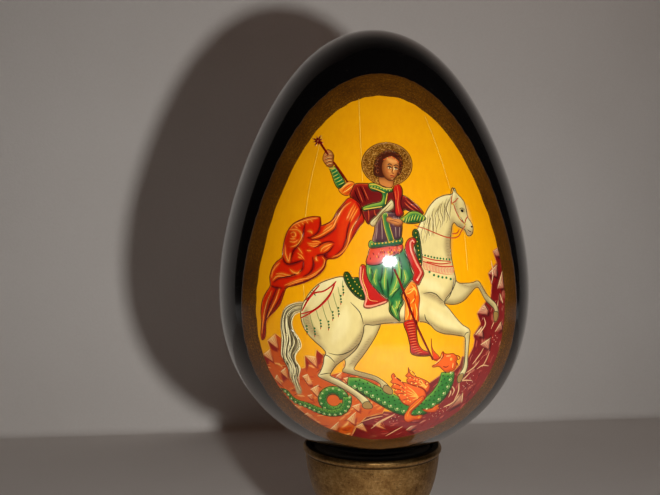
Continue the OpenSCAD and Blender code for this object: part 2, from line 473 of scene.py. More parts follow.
def painting():
    finish = Finish("painting", Coat_Weight=1.0, Coat_Roughness=0.075, Specular_IOR_Level=0.15)
    pigment = finish.node("Attribute", {"attribute_name": "pigment"}, output="Color")
    gilding = finish.node("Attribute", {"attribute_name": "gilding"}, output="Fac")
    spot = finish.place()
    grain = finish.noise(finish.place((1, 1, 0.3)), 900, 4, 0.65)
    mottle = finish.noise(spot, 160, 3, 0.6)
    aged = finish.mix(1.0, pigment, rgb(229, 222, 196), "MULTIPLY")      # yellowed varnish
    uneven = finish.ramp(grain * 0.6 + mottle * 0.4, [(0.3, (0.35, 0.35, 0.35)), (0.7, (0.66, 0.66, 0.66))])
    worked = finish.mix(0.3, aged, uneven, "OVERLAY")
    glitter = finish.noise(spot, 3000, 2, 0.7)
    gold = finish.ramp(glitter, [(0.36, rgb(88, 48, 8)), (0.52, rgb(158, 98, 24)), (0.66, rgb(222, 168,
                          82))])
    finish.connect(Base_Color=finish.mix(gilding, worked, gold), Metallic=gilding * 0.5,
                   Roughness=0.5 - mottle * 0.15,
                   Normal=finish.bump(mottle * 0.6 + grain * 0.25 + glitter * gilding * 0.8, 0.16, 0.00004))
    return finish.material


def agedBrass():
    finish = Finish("agedBrass", Metallic=1.0)
    spot = finish.place()
    height = finish.node("SeparateXYZ", inputs={0: spot}, output=2)
    flat = finish.node("VectorMath", {"operation": "MULTIPLY"}, {0: spot, 1: (1, 1, 0)})
    radius = finish.node("VectorMath", {"operation": "LENGTH"}, {0: flat}, output="Value")
    turning = finish.noise(finish.place((0.02, 0.02, 1)), 5200, 3, 0.65)
    tarnish = finish.noise(spot, 210, 6, 0.7)
    freckles = finish.noise(spot, 1300, 4, 0.7)
    spots = finish.step(finish.noise(spot, 760, 5, 0.65), 0.55, 0.70)
    pits = finish.step(finish.noise(spot, 1500, 2, 0.5), 0.63, 0.72)
    tone = finish.ramp(tarnish * 0.45 + freckles * 0.4 + turning * 0.15,
                       [(0.38, rgb(112, 80, 43)), (0.50, rgb(148, 112, 65)), (0.62, rgb(184, 148, 96))])
    toned = finish.mix(spots * 0.26, tone, rgb(78, 52, 28))
    pitted = finish.mix(pits * 0.6, toned, rgb(38, 26, 16))
    # painted shade: the lip's top and inner side are painted near-black for the egg's shadow and the black
    # egg mirrored in the brass
    lipShadeMask = finish.step(height, 0.0478, 0.0484) * (1 - finish.step(radius, 0.0174, 0.0180))
    # painted shade: a dark line painted along the groove under the bead
    groove = finish.step(height, 0.04778, 0.04792) * (1 - finish.step(height, 0.04812, 0.04826))
    lipShaded = finish.mix(lipShadeMask * 0.95, pitted, rgb(16, 11, 8))
    grooveShaded = finish.mix(groove * 0.7, lipShaded, rgb(40, 26, 14))
    finish.connect(Base_Color=grooveShaded, Roughness=0.35 + tarnish * 0.16 + spots * 0.12 + lipShadeMask * 0.3,
                   Normal=finish.bump(turning * 0.5 + freckles * 0.3 - pits * 0.5, 0.25, 0.00006))
    return finish.material


def felt(name, dark, light):
    finish = Finish(name, Roughness=0.95, Specular_IOR_Level=0.15)
    spot = finish.place()
    fibres = finish.noise(finish.place((1, 1, 2.5)), 1800, 5, 0.75)
    clumps = finish.noise(spot, 400, 3, 0.6)
    finish.connect(Base_Color=finish.ramp(fibres * 0.6 + clumps * 0.4, [(0.35, dark), (0.65, light)]),
                   Normal=finish.bump(fibres, 0.7, 0.0002))
    return finish.material


def turnedWood():
    finish = Finish("turnedWood", Roughness=0.6)
    spot = finish.place((1, 1, 0.12))
    rings = finish.node("TexWave", {"bands_direction": "X"}, {"Vector": spot, "Scale": 160, "Distortion": 6,
                                                              "Detail": 3})
    fibre = finish.noise(finish.place((1, 1, 0.04)), 1500, 3, 0.6)
    finish.connect(Base_Color=finish.ramp(rings * 0.6 + fibre * 0.4, [(0.2, rgb(150, 112, 70)),
                                                                      (0.8, rgb(214, 182, 132))]),
                   Normal=finish.bump(fibre, 0.3, 0.0001))
    return finish.material


def gesso():
    finish = Finish("gesso", Roughness=0.75)
    chalk = finish.noise(finish.place(), 700, 4, 0.6)
    finish.connect(Base_Color=finish.ramp(chalk, [(0.3, rgb(226, 221, 206)), (0.7, rgb(244, 241, 230))]),
                   Normal=finish.bump(chalk, 0.2, 0.00005))
    return finish.material


def zincSteel():
    finish = Finish("zincSteel", Metallic=1.0)
    spangle = finish.noise(finish.place(), 900, 3, 0.6)
    finish.connect(Base_Color=finish.ramp(spangle, [(0.3, rgb(150, 152, 150)), (0.7, rgb(196, 198, 196))]),
                   Roughness=0.3 + spangle * 0.2)
    return finish.material


def makeEgg():
    tree = makeEggTree()
    values = dict(eggValues, Segments=egg["segments"], Rings=egg["rings"], Material=blackLacquer())
    body = tree.run("lacqueredEgg", bpy.data.meshes.new("empty"), values)
    finishPiece(body, "egg")
    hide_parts("lacquer_coat")
    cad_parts["wood_core"].data.materials.clear()
    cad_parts["wood_core"].data.materials.append(turnedWood())
    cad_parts["gesso_coat"].data.materials.clear()
    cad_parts["gesso_coat"].data.materials.append(gesso())
    print("egg", len(body.data.polygons), "faces")


def outlineOf(node):
    # top, bottom and width of a medallion outline, from its CAD node
    low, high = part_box(node)
    return high.z - egg["middle"], low.z - egg["middle"], high.x - low.x


def outlinePoints(outline, angles):
    # points round an egg outline: 0 at the blunt end, pi at the tip, and back
    top, bottom, width = outline
    height = top - bottom
    z = -height / 2 * np.cos(angles)
    half = eggRadius(z, height, width)
    return np.where(np.sin(angles) >= 0, 1, -1) * half, z + (top + bottom) / 2


border = {
    "columns": 9, "steps": 420,
    "lift": 0.13 * mm,          # height of the powder above the lacquer
    "sink": -0.05 * mm,         # the skin's back, just inside the lacquer
    "ragged": 0.2 * mm,         # unevenness of its brushed edges
    "tuck": 0.45 * mm,          # how far it laps over the panel's edge
}


def waver(angles, seed, size, high=90):
    # smooth closed waviness, from a few seeded sine terms
    rng = np.random.default_rng(seed)
    total = sum(np.sin(k * angles + rng.uniform(0, 6.28)) * rng.uniform(0.3, 1) for k in range(5, high, 4))
    return size * total / 9


def makeBorder():
    angles = np.linspace(0, 2 * math.pi, border["steps"], endpoint=False)
    outer, inner = outlineOf("gilt_border"), outlineOf("painted_panel")
    outX, outZ = outlinePoints(outer, angles)
    inX, inZ = outlinePoints(inner, angles)
    shrinkOut = 1 - (border["ragged"] + waver(angles, 5, border["ragged"])) / np.hypot(outX, outZ)
    shrinkIn = 1 - (border["tuck"] + waver(angles, 9, border["tuck"] * 0.5, 56)) / np.hypot(inX, inZ)
    columns = border["columns"]
    across = np.array([0, 0.02] + list(np.linspace(0.05, 0.95, columns)) + [0.988, 1])
    x = inX * shrinkIn + (outX * shrinkOut - inX * shrinkIn) * across[:, None]
    z = inZ * shrinkIn + (outZ * shrinkOut - inZ * shrinkIn) * across[:, None]
    rise = np.interp(across, [0, 0.1, 0.97, 1], [0.55, 1, 0.9, 0.1])[:, None] * border["lift"]
    front = onEgg(x, z, rise + np.zeros_like(x))
    back = onEgg(x[::-1], z[::-1], np.full_like(x, border["sink"]))
    rings = np.concatenate([front, back])
    steps = border["steps"]
    points = rings.reshape(-1, 3)
    faces = []
    for row in range(len(rings)):
        after = (row + 1) % len(rings)
        for k in range(steps):
            j = (k + 1) % steps
            faces.append((row * steps + k, after * steps + k, after * steps + j, row * steps + j))
    band = meshPiece("giltBorder", points, faces, bronzePowder(), "egg", ride=False)
    share = np.concatenate([across, across[::-1]])
    around = np.broadcast_to(np.minimum(angles, 2 * math.pi - angles) / math.pi, (len(rings), steps))
    side = np.where(angles > math.pi, 0.5, 0.0)
    spread = np.stack([np.broadcast_to(share[:, None], around.shape) * 0.45 + side, around],
                      -1).reshape(-1, 2)
    cornerLayer(band.data, "OFBake", spread)
    finishPiece(band, "egg")
    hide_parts("gilt_border")
    print("border", len(band.data.polygons), "faces")


def makeStand():
    brass = agedBrass()
    makeBowl(brass)
    makeStem(brass)
    makeFoot(brass)
    steel = zincSteel()
    for name in ("stem_stud", "foot_nut", "washer"):
        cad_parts[name].data.materials.clear()
        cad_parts[name].data.materials.append(steel)
    print("stand made")


bowl = {
    "bead": 1.8 * mm, "proud": 0.55 * mm, "groove": 0.22 * mm,
    "neck": 5 * mm, "wall": 1.8 * mm, "recess": 5 * mm, "well": 7 * mm, "wellDepth": 11 * mm,
    "lip": 0.5 * mm,            # rounding of the lip's inner edge
    "chamfer": 0.0003,          # where the recess wall meets its floor
}


def makeBowl(brass):
    low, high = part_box("cup_bowl")
    outer, top, bottom = high.x, high.z, low.z
    wall = outer - bowl["proud"]
    wide, deep = wall - bowl["neck"], top - bottom
    curve = [(bowl["neck"] + wide * math.sin(a), top - deep * math.cos(a))
             for a in np.linspace(0, math.radians(83.5), 44)]
    bead = bowl["bead"] / 2
    foot = curve[-1][1] + bowl["groove"]
    groove = [(wall - bowl["groove"], foot), (wall - bowl["groove"], top - 2 * bead)]
    lip = arc(outer - bead, top - bead, bead, -80, 88, 16)
    recess = wall - bowl["wall"]
    soft = bowl["lip"]
    inside = arc(recess + soft, top - soft, soft, 90, 180, 6)
    floor = top - bowl["recess"]
    chamfer = bowl["chamfer"]
    well = [(recess, floor + chamfer), (recess - chamfer, floor), (bowl["well"], floor),
            (bowl["well"], top - bowl["wellDepth"]), (0, top - bowl["wellDepth"])]
    profile = [(0, bottom)] + [p for p in curve if p[1] < groove[1][1] - bowl["groove"]] + [groove[1]] + lip
    made = turned("cupBowl", profile + inside + well, brass, "stand")
    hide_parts("cup_bowl")


stem = {"disc": 1.4 * mm, "end": 6.5 * mm, "steps": 46}


def makeStem(brass):
    low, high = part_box("stem_baluster")
    knop, bottom, top = high.x, low.z, high.z
    end = stem["end"]
    narrow = end - stem["disc"]
    lower, upper = bottom + stem["disc"], top - stem["disc"]
    half = stem["disc"] / 2
    curve = [(narrow + (knop - narrow) * math.sin(math.pi * u) ** 2, lower + (upper - lower) * u)
             for u in np.linspace(0.02, 0.98, stem["steps"])]
    ringLow = arc(end - half, bottom + half, half, -88, 88, 10)
    ringHigh = arc(end - half, top - half, half, -88, 88, 10)
    made = turned("stemBaluster", [(0, bottom)] + ringLow + curve + ringHigh + [(0, top)], brass, "stand")
    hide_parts("stem_baluster")


footShape = {
    "edge": 2.4 * mm, "stem": 6.5 * mm, "steps": 40,
    "nick": 0.0004, "nickDeep": 0.0003,     # half width and depth of the turned line inside the edge
}


def makeFoot(brass):
    low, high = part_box("foot")
    wide, bottom, top = high.x, low.z, high.z
    edge, half = footShape["edge"], footShape["edge"] / 2
    start = bottom + edge
    run, rise = wide - edge - footShape["stem"], top - start
    rim = arc(wide - half, bottom + half, half, -85, 90, 14)
    nick = footShape["nick"]
    step = [(wide - edge, start), (wide - edge - nick, start - footShape["nickDeep"]),
            (wide - edge - 2 * nick, start)]
    cove = [(footShape["stem"] + run * (1 - math.sin(a)), start + rise * (1 - math.cos(a)))
            for a in np.radians(np.linspace(0, 90, footShape["steps"]))]
    cove = [p for p in cove if p[0] < wide - edge - 0.0009]
    made = turned("turnedFoot", [(0, bottom)] + rim + step + cove + [(0, top)], brass, "stand")
    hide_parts("foot")


ringFelt = {"soft": 0.7 * mm, "gap": 0.25 * mm}


def makeSeatRing():
    low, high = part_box("seat_ring")
    outer, bottom, top = high.x, low.z, high.z
    soft, bore = ringFelt["soft"], bowl["well"]
    blunt = eggLow.z - egg["middle"]
    inner = [(r, z) for r, z in ((eggRadius(z) + ringFelt["gap"], z + egg["middle"] - ringFelt["gap"])
                                 for z in blunt + np.linspace(0.1, 2.2, 60) * mm)
             if bore + 0.0001 < r and z < top - 0.0001]
    crown = arc(outer - soft, top - soft, soft, 0, 90, 7)
    loop = ([(bore, bottom), (outer, bottom)] + crown + [(r, z) for r, z in inner[::-1]]
            + [(bore, inner[0][1])])
    points, faces, segments = [], [], 144
    for r, z in loop:
        points += [(r * math.cos(a), r * math.sin(a), z)
                   for a in np.arange(segments) * 2 * math.pi / segments]
    for row in range(len(loop)):
        after = (row + 1) % len(loop)
        for k in range(segments):
            j = (k + 1) % segments
            faces.append((row * segments + k, row * segments + j, after * segments + j, after * segments
                          + k))
    # near-black felt whose darkness also stands for the shadowed gap between the egg and the brass lip:
    # painted shade
    black = felt("blackFelt", rgb(18, 14, 11), rgb(40, 34, 28))
    made = meshPiece("seatRing", points, faces, black, "ring")
    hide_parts("seat_ring")


padFelt = {"soft": 0.45 * mm}


def makeFeltPad():
    low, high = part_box("felt_pad")
    wide, bottom, top = high.x, low.z, high.z
    green = felt("greenFelt", rgb(18, 52, 30), rgb(44, 88, 54))
    edge = arc(wide - padFelt["soft"], bottom + padFelt["soft"], padFelt["soft"], -90, 0, 6)
    made = turned("feltPad", [(0, bottom)] + edge + [(wide, top), (0, top)], green, "stand")
    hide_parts("felt_pad")


# The painting is laid out in millimetres: x to the right, z up, both from the egg's middle.
# A point that is given twice makes a corner in a smooth line.
panel = {
    "columns": 236, "rows": 372, "backColumns": 12,
    "lift": 0.08 * mm, "sink": -0.04 * mm,
    "finer": 0.16,          # packs the grid towards the rider's head
    "fineZ": 0.42,          # where that is, from the tip down
}
brush = {
    "lift": 0.105 * mm,     # the first stroke's height above the lacquer
    "pile": 0.05 * mm,      # how much higher the last one lies
    "body": 0.10,           # thickness of a stroke as a share of its width
    "step": 0.4,            # millimetres between a stroke's points
    "soft": 0.13,           # softness of a painted edge, in millimetres
    "outline": 0.72,        # share of its stated width that a contour is drawn with
    "margin": 0.35 * mm,    # how far strokes keep from the panel's edge
}


def curve(points, closed=False, step=None):
    # a smooth line through the points, with tangents shared out by distance
    p = np.asarray(points, float)
    before, after = np.roll(p, 1, 0), np.roll(p, -1, 0)
    if not closed:
        before[0], after[-1] = p[0], p[-1]
    ahead, behind = np.linalg.norm(after - p, axis=1), np.linalg.norm(p - before, axis=1)
    slope = (after - before) / np.maximum(ahead + behind, 1e-9)[:, None]
    pieces = []
    for k in range(len(p) if closed else len(p) - 1):
        j = (k + 1) % len(p)
        if ahead[k] < 1e-6:
            continue
        t = np.linspace(0, 1, 1 + max(1, math.ceil(ahead[k] / (step or brush["step"]))))[:-1, None]
        near, far = (1 + 2 * t) * (1 - t) ** 2, t * t * (3 - 2 * t)
        pieces.append(near * p[k] + far * p[j] + ahead[k] * (t * (1 - t) ** 2 * slope[k] - t * t * (1 - t)
                       * slope[j]))
    return np.concatenate(pieces + ([] if closed else [p[-1:]]))


def smoothStep(value, low, high):
    t = np.clip((value - low) / (high - low), 0, 1)
    return t * t * (3 - 2 * t)


def ribbon(points, widths):
    # outline of a band along a smooth line; widths are spread evenly along it
    line = curve(points)
    along = np.gradient(line, axis=0)
    along /= np.maximum(np.linalg.norm(along, axis=1), 1e-9)[:, None]
    side = np.stack([-along[:, 1], along[:, 0]], 1)
    half = np.interp(np.linspace(0, 1, len(line)), np.linspace(0, 1, len(widths)), widths)[:, None] / 2
    return np.concatenate([line + side * half, (line - side * half)[::-1]])


def blendLines(left, right, share, count=24):
    # the line that lies at this share of the way from one guide to the other
    a, b = (resample(curve(side), count) for side in (left, right))
    return a + (b - a) * share


def resample(line, count):
    line = np.asarray(line, float)
    run = np.concatenate([[0], np.cumsum(np.linalg.norm(np.diff(line, axis=0), axis=1))])
    at = np.linspace(0, run[-1], count)
    return np.stack([np.interp(at, run, line[:, 0]), np.interp(at, run, line[:, 1])], 1)


class Picture:
    # soft fills on a grid of points, and raised strokes that later fills cover
    def __init__(self, x, z, ground):
        self.x, self.z = x / mm, z / mm
        self.colour = np.tile(toLinear(np.array(ground) / 255), x.shape + (1,))
        self.gilding = np.zeros(x.shape)
        self.strokes, self.covers = [], []

    def measure(self, line, closed, margin):
        # signed distance to an outline, or plain distance and share along an open line
        low, high = line.min(0) - margin, line.max(0) + margin
        part = np.nonzero((self.x > low[0]) & (self.x < high[0]) & (self.z > low[1]) & (self.z < high[1]))
        return part, self.distances(self.x[part], self.z[part], line, closed)

    def distances(self, px, pz, line, closed):
        nearest, share, inside = np.full(px.shape, 1e9), np.zeros(px.shape), np.zeros(px.shape, bool)
        ends = np.roll(line, -1, 0) if closed else line[1:]
        count = len(ends)
        for k, ((ax, az), (bx, bz)) in enumerate(zip(line, ends)):
            dx, dz = bx - ax, bz - az
            t = np.clip(((px - ax) * dx + (pz - az) * dz) / max(dx * dx + dz * dz, 1e-12), 0, 1)
            gap = (px - ax - t * dx) ** 2 + (pz - az - t * dz) ** 2
            closer = gap < nearest
            nearest, share = np.where(closer, gap, nearest), np.where(closer, (k + t) / count, share)
            if closed and az != bz:
                inside ^= ((az > pz) != (bz > pz)) & (px < ax + (pz - az) * dx / dz)
        if closed:
            return np.where(inside, 1, -1) * np.sqrt(nearest)
        return np.sqrt(nearest), share

    def fill(self, outline, colour, sides=(), sharp=False, soft=None, strength=1.0, gild=0.0, cover=True,
             edge=None):
        # sides: (colour, x, z, blur) tints what lies towards (x, z); edge: a stroke round the shape
        line = np.asarray(outline, float) if sharp else curve(outline, closed=True)
        soft = soft or brush["soft"]
        part, signed = self.measure(line, True, soft)
        tone = np.tile(toLinear(np.array(colour) / 255), signed.shape + (1,))
        for sideColour, dx, dz, blur in sides:
            moved = self.distances(self.x[part] + dx, self.z[part] + dz, line, True)
            amount = 1 - smoothStep(moved, -blur, blur)
            tone += (toLinear(np.array(sideColour) / 255) - tone) * amount[..., None]
        amount = (smoothStep(signed, -soft, soft) * strength)[..., None]
        self.colour[part] += (tone - self.colour[part]) * amount
        self.gilding[part] += (gild - self.gilding[part]) * amount[..., 0]
        if cover:
            self.covers.append((len(self.strokes), line))
        if edge:
            self.line(np.concatenate([line, line[:1]]), edge[0], edge[1] * brush["outline"], ends=1.0,
                      smooth=False)

    def wash(self, points, colour, width, strength=1.0, blur=0.5):
        # a soft stroke in the paint itself
        part, (gap, share) = self.measure(curve(points), False, width + blur)
        half = width / 2 * np.sin(np.pi * np.clip(share, 0.03, 0.97)) ** 0.5
        amount = (1 - smoothStep(gap, half - blur / 2, half + blur / 2)) * strength
        self.colour[part] += (toLinear(np.array(colour) / 255) - self.colour[part]) * amount[..., None]

    def line(self, points, colour, width=0.28, ends=0.3, smooth=True):
        # a raised stroke that narrows to a share of its width at both ends
        path = curve(points) if smooth else resample(points, max(3, int(lengthOf(points) / brush["step"])))
        t = np.linspace(0, 1, len(path))
        half = width / 2 * (ends + (1 - ends) * np.sin(np.pi * t) ** 0.7)
        self.strokes.append((path, toLinear(np.array(colour) / 255), half))

    def lines(self, several, colour, width=0.28, ends=0.3):
        for points in several:
            self.line(points, colour, width, ends)

    def dots(self, places, colour, size):
        angles = np.linspace(0, math.pi, 6)
        for x, z in places:
            path = np.stack([x - np.cos(angles) * size / 2, np.full(6, z)], 1)
            self.strokes.append((path, toLinear(np.array(colour) / 255), size / 2 * np.sin(angles) + 0.02))

    def strands(self, left, right, count, colours, width, wave=0.0, seed=1, share=(0, 1), length=(0, 1)):
        # strokes spread between two guides, waved and cut to uneven lengths
        rng = np.random.default_rng(seed)
        for k, part in enumerate(np.linspace(*share, count)):
            line = blendLines(left, right, part + rng.uniform(-0.3, 0.3) / count)
            start, stop = length[0] + rng.uniform(0, 0.15), length[1] - rng.uniform(0, 0.15)
            line = line[int(start * 24):max(int(start * 24) + 4, int(stop * 24))]
            sway = wave * np.sin(np.linspace(0, rng.uniform(4, 9), len(line)) + rng.uniform(0, 6))
            line = line + sway[:, None] * (0.7, 0.4)
            self.line(line[::2], colours[k % len(colours)], width * rng.uniform(0.7, 1.2), 0.2)

    def visible(self, outline):
        # strokes cut at the panel's edge and where a later fill covers them
        pieces = []
        top, bottom, width = outline
        for order, (path, colour, half) in enumerate(self.strokes):
            reach = eggRadius(path[:, 1] * mm - (top + bottom) / 2, top - bottom, width)
            hidden = abs(path[:, 0]) * mm > reach - brush["margin"]
            for since, line in self.covers:
                if since > order and (path.max(0) > line.min(0)).all() and (path.min(0) < line.max(0)).all():
                    hidden |= self.distances(path[:, 0], path[:, 1], line, True) > 0
            start = None
            for k, gone in enumerate(list(hidden) + [True]):
                if not gone and start is None:
                    start = k
                elif gone and start is not None:
                    if k - start > 1:
                        pieces.append((order, path[start:k], colour, half[start:k]))
                    start = None
        return pieces


def lengthOf(points):
    return np.linalg.norm(np.diff(np.asarray(points, float), axis=0), axis=1).sum()


def makeBrushTree():
    # sweeps a flat bar along each drawn line
    tree = GeoTree("brushwork")
    tree.inputs(Body="Float", Material="Material")
    lines = tree.node("GeometryNodeMeshToCurve", inputs={0: Wire(tree, tree.groupIn.outputs["Geometry"])})
    up = tree.node("GeometryNodeInputNamedAttribute", {"data_type": "FLOAT_VECTOR"}, {"Name": "up"})
    half = tree.node("GeometryNodeInputNamedAttribute", {"data_type": "FLOAT"}, {"Name": "halfWidth"})
    faced = tree.node("GeometryNodeSetCurveNormal", {"mode": "FREE"}, {"Curve": lines, "Normal": up})
    sized = tree.node("GeometryNodeSetCurveRadius", inputs={"Curve": faced, "Radius": half})
    bar = tree.node("GeometryNodeCurvePrimitiveQuadrilateral", {"mode": "RECTANGLE"},
                    {0: tree.given("Body") * 2, 1: 2.0})
    swept = tree.node("GeometryNodeCurveToMesh", inputs={"Curve": sized, "Profile Curve": bar,
                       "Fill Caps": True})
    if "Scale" in swept.socket.node.inputs:
        tree.tree.links.new(half.socket, swept.socket.node.inputs["Scale"])
    tree.output(swept, tree.given("Material"))
    return tree


def makeStrokes(picture, material):
    pieces = picture.visible(outlineOf("painted_panel"))
    path = np.concatenate([piece[1] for piece in pieces])
    order = np.concatenate([np.full(len(piece[1]), piece[0]) for piece in pieces]) / len(picture.strokes)
    x, z = path[:, 0] * mm, path[:, 1] * mm
    lift = brush["lift"] + brush["pile"] * order
    points = onEgg(x, z, lift)
    edges, start = [], 0
    for piece in pieces:
        edges += [(k, k + 1) for k in range(start, start + len(piece[1]) - 1)]
        start += len(piece[1])
    mesh = bpy.data.meshes.new("strokes")
    mesh.from_pydata(points.tolist(), edges, [])
    up = onEgg(x, z, lift + mm) - points
    mesh.attributes.new("up", "FLOAT_VECTOR", "POINT").data.foreach_set("vector", (up / mm).ravel())
    half = np.concatenate([piece[3] for piece in pieces]) * mm
    mesh.attributes.new("halfWidth", "FLOAT", "POINT").data.foreach_set("value", half)
    colours = np.concatenate([np.tile(piece[2], (len(piece[1]), 1)) for piece in pieces])
    colours = np.concatenate([colours, np.ones((len(colours), 1))], 1)
    mesh.attributes.new("pigment", "FLOAT_COLOR", "POINT").data.foreach_set("color", colours.ravel())
    made = makeBrushTree().run("brushwork", mesh, {"Body": brush["body"], "Material": material})
    flatMap(made.data)
    finishPiece(made, "egg")
    print("brushwork", len(pieces), "strokes,", len(made.data.polygons), "faces")


def flatMap(mesh):
    # a UV map that looks straight at the panel
    places = np.zeros(len(mesh.vertices) * 3)
    mesh.vertices.foreach_get("co", places)
    places = places.reshape(-1, 3)
    low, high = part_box("painted_panel")
    spread = np.stack([(places[:, 0] - low.x) / (high.x - low.x), (places[:,
                         2] - low.z) / (high.z - low.z)], 1)
    cornerLayer(mesh, "OFBake", 0.02 + spread * 0.94)


def makePainting():
    top, bottom, width = outlineOf("painted_panel")
    columns, rows = panel["columns"], panel["rows"]
    t = np.linspace(0, 1, rows + 2)[1:-1]
    turn = math.pi * (t - panel["finer"] * np.sin(2 * np.pi * (t - panel["fineZ"])) / (2 * np.pi))
    turn -= math.pi * panel["finer"] * math.sin(2 * math.pi * panel["fineZ"]) / (2 * math.pi)
    height = top - bottom
    level = height / 2 * np.cos(turn)
    half = eggRadius(level, height, width)
    s = np.linspace(-1, 1, columns)
    across = s - panel["finer"] * np.sin(np.pi * s) / np.pi
    x, z = half[:, None] * across, np.broadcast_to((level + (top + bottom) / 2)[:, None], (rows, columns))
    picture = Picture(x, z, pigments["ground"])
    for paint in (paintGround, paintRocks, paintDragon, paintHorse, paintCloak, paintSaddle, paintRider,
                  paintHead, paintSpear):
        paint(picture)
    backAcross = np.linspace(1, -1, panel["backColumns"] + 2)[1:-1]
    backX = half[:, None] * backAcross
    backZ = np.broadcast_to(z[:, :1], backX.shape)
    front, back = onEgg(x, z, np.full_like(x, panel["lift"])), onEgg(backX, backZ, np.full_like(backX,
                                                                      panel["sink"]))
    loop = np.concatenate([front, back], 1)
    wide = loop.shape[1]
    tips = onEgg(np.zeros(2), np.array([top, bottom]), np.zeros(2))
    points = np.concatenate([loop.reshape(-1, 3), tips])
    faces = []
    for k in range(wide):
        j = (k + 1) % wide
        faces.append((rows * wide, k, j))
        faces += [(row * wide + k, (row + 1) * wide + k, (row + 1) * wide + j, row * wide + j)
                  for row in range(rows - 1)]
        faces.append(((rows - 1) * wide + k, rows * wide + 1, (rows - 1) * wide + j))
    paint = painting()
    made = meshPiece("paintedPanel", points, faces, paint, "egg", ride=False)
    tone = np.ones((len(points), 4))
    shown = np.concatenate([picture.colour, np.repeat(picture.colour[:, -1:], panel["backColumns"], 1)], 1)
    tone[:rows * wide, :3] = shown.reshape(-1, 3)
    tone[rows * wide:, :3] = toLinear(np.array(pigments["ground"]) / 255)
    mask = np.zeros(len(points))
    mask[:rows * wide] = np.concatenate([picture.gilding, np.zeros((rows, panel["backColumns"]))], 1).ravel()
    made.data.attributes.new("pigment", "FLOAT_COLOR", "POINT").data.foreach_set("color", tone.ravel())
    made.data.attributes.new("gilding", "FLOAT", "POINT").data.foreach_set("value", mask)
    flatMap(made.data)
    finishPiece(made, "egg")
    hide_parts("painted_panel")
    print("painted panel", len(made.data.polygons), "faces")
    makeStrokes(picture, paint)


pigments = {"ground": (240, 168, 8), "groundLight": (243, 186, 42), "groundPale": (250, 205, 90),
            "rockOrange": (212, 92, 16), "rockRed": (134, 28, 32), "cream": (238, 196, 138),
            "deepRed": (140, 22, 8), "horse": (222, 208, 156), "horseShade": (156, 136, 102),
            "horseLine": (62, 54, 40), "horseLight": (238, 230, 188), "hoof": (158, 128, 76),
            "bridle": (192, 76, 48), "pinkFringe": (224, 128, 110), "cloak": (208, 34, 8),
            "cloakDark": (126, 10, 8), "cloakLight": (238, 108, 24), "cloakBright": (246, 150, 60),
            "cloth": (186, 24, 16), "clothBorder": (236, 150, 132), "saddle": (26, 70, 20),
            "gold": (226, 186, 70), "green": (30, 112, 62), "greenDark": (12, 58, 30),
            "greenLight": (150, 190, 70), "lime": (196, 206, 90), "purple": (80, 44, 60),
            "maroon": (112, 14, 14), "orange": (240, 110, 12), "orangeLight": (250, 168, 60),
            "red": (190, 22, 14), "flesh": (208, 132, 70), "fleshDark": (112, 50, 20), "hair": (70, 26, 12),
            "black": (24, 14, 10), "dragon": (40, 122, 42), "dragonDark": (14, 66, 22),
            "halo": (150, 108, 44), "spear": (116, 12, 10)}


def paintGround(picture):
    c = pigments
    picture.wash([(-6, -22), (6, -24), (14, -24)], c["groundLight"], 26, 0.5, 26)
    picture.lines([[(-13.5, 24.4), (-16.6, 10), (-17.6, -4), (-17, -18)], [(-5, 33), (-4.9, 24), (-4.6, 13)],
                   [(10, 29), (12.6, 21), (15, 12)], [(18, 2), (18.5, -6)]], c["groundPale"], 0.16, 0.6)


leftRocks = [
    (-31, -26), (-26.9, -25.6), (-25.2, -24.1), (-25.8, -22.2), (-23.8, -20.3), (-22.5, -21.2), (-22, -24),
    (-20.5, -28), (-18, -27.8), (-17.2, -27.5), (-17.3, -24.8), (-15, -25.2), (-14.7, -23.1),
    (-13.2, -24.4), (-12.5, -23.8), (-11.7, -28.8), (-9, -28), (-8.8, -25.3), (-8.5, -26.5), (-9, -27.6),
    (-6, -28.7), (-1, -30), (2, -33), (0, -38), (-3.5, -39), (-5.5, -41.5), (-6.5, -44.5), (-8, -50),
    (-31, -50)]
rightRocks = [
    (31, -0.5), (27.3, -0.8), (25.2, -1.9), (26.1, -4.5), (23.7, -6.9), (24.6, -9.5), (24.3, -12.5),
    (23, -13.1), (20.8, -15.7), (21.8, -18), (20, -20.5), (20.4, -21.5), (20.2, -23), (19, -25.5),
    (17.5, -25), (17, -27), (15.5, -28.5), (12.8, -28.9), (10.2, -30.7), (9, -33), (6, -38), (0.3, -37.5),
    (-3.6, -39), (-6, -42), (-6.6, -44.8), (-7, -50), (31, -50)]
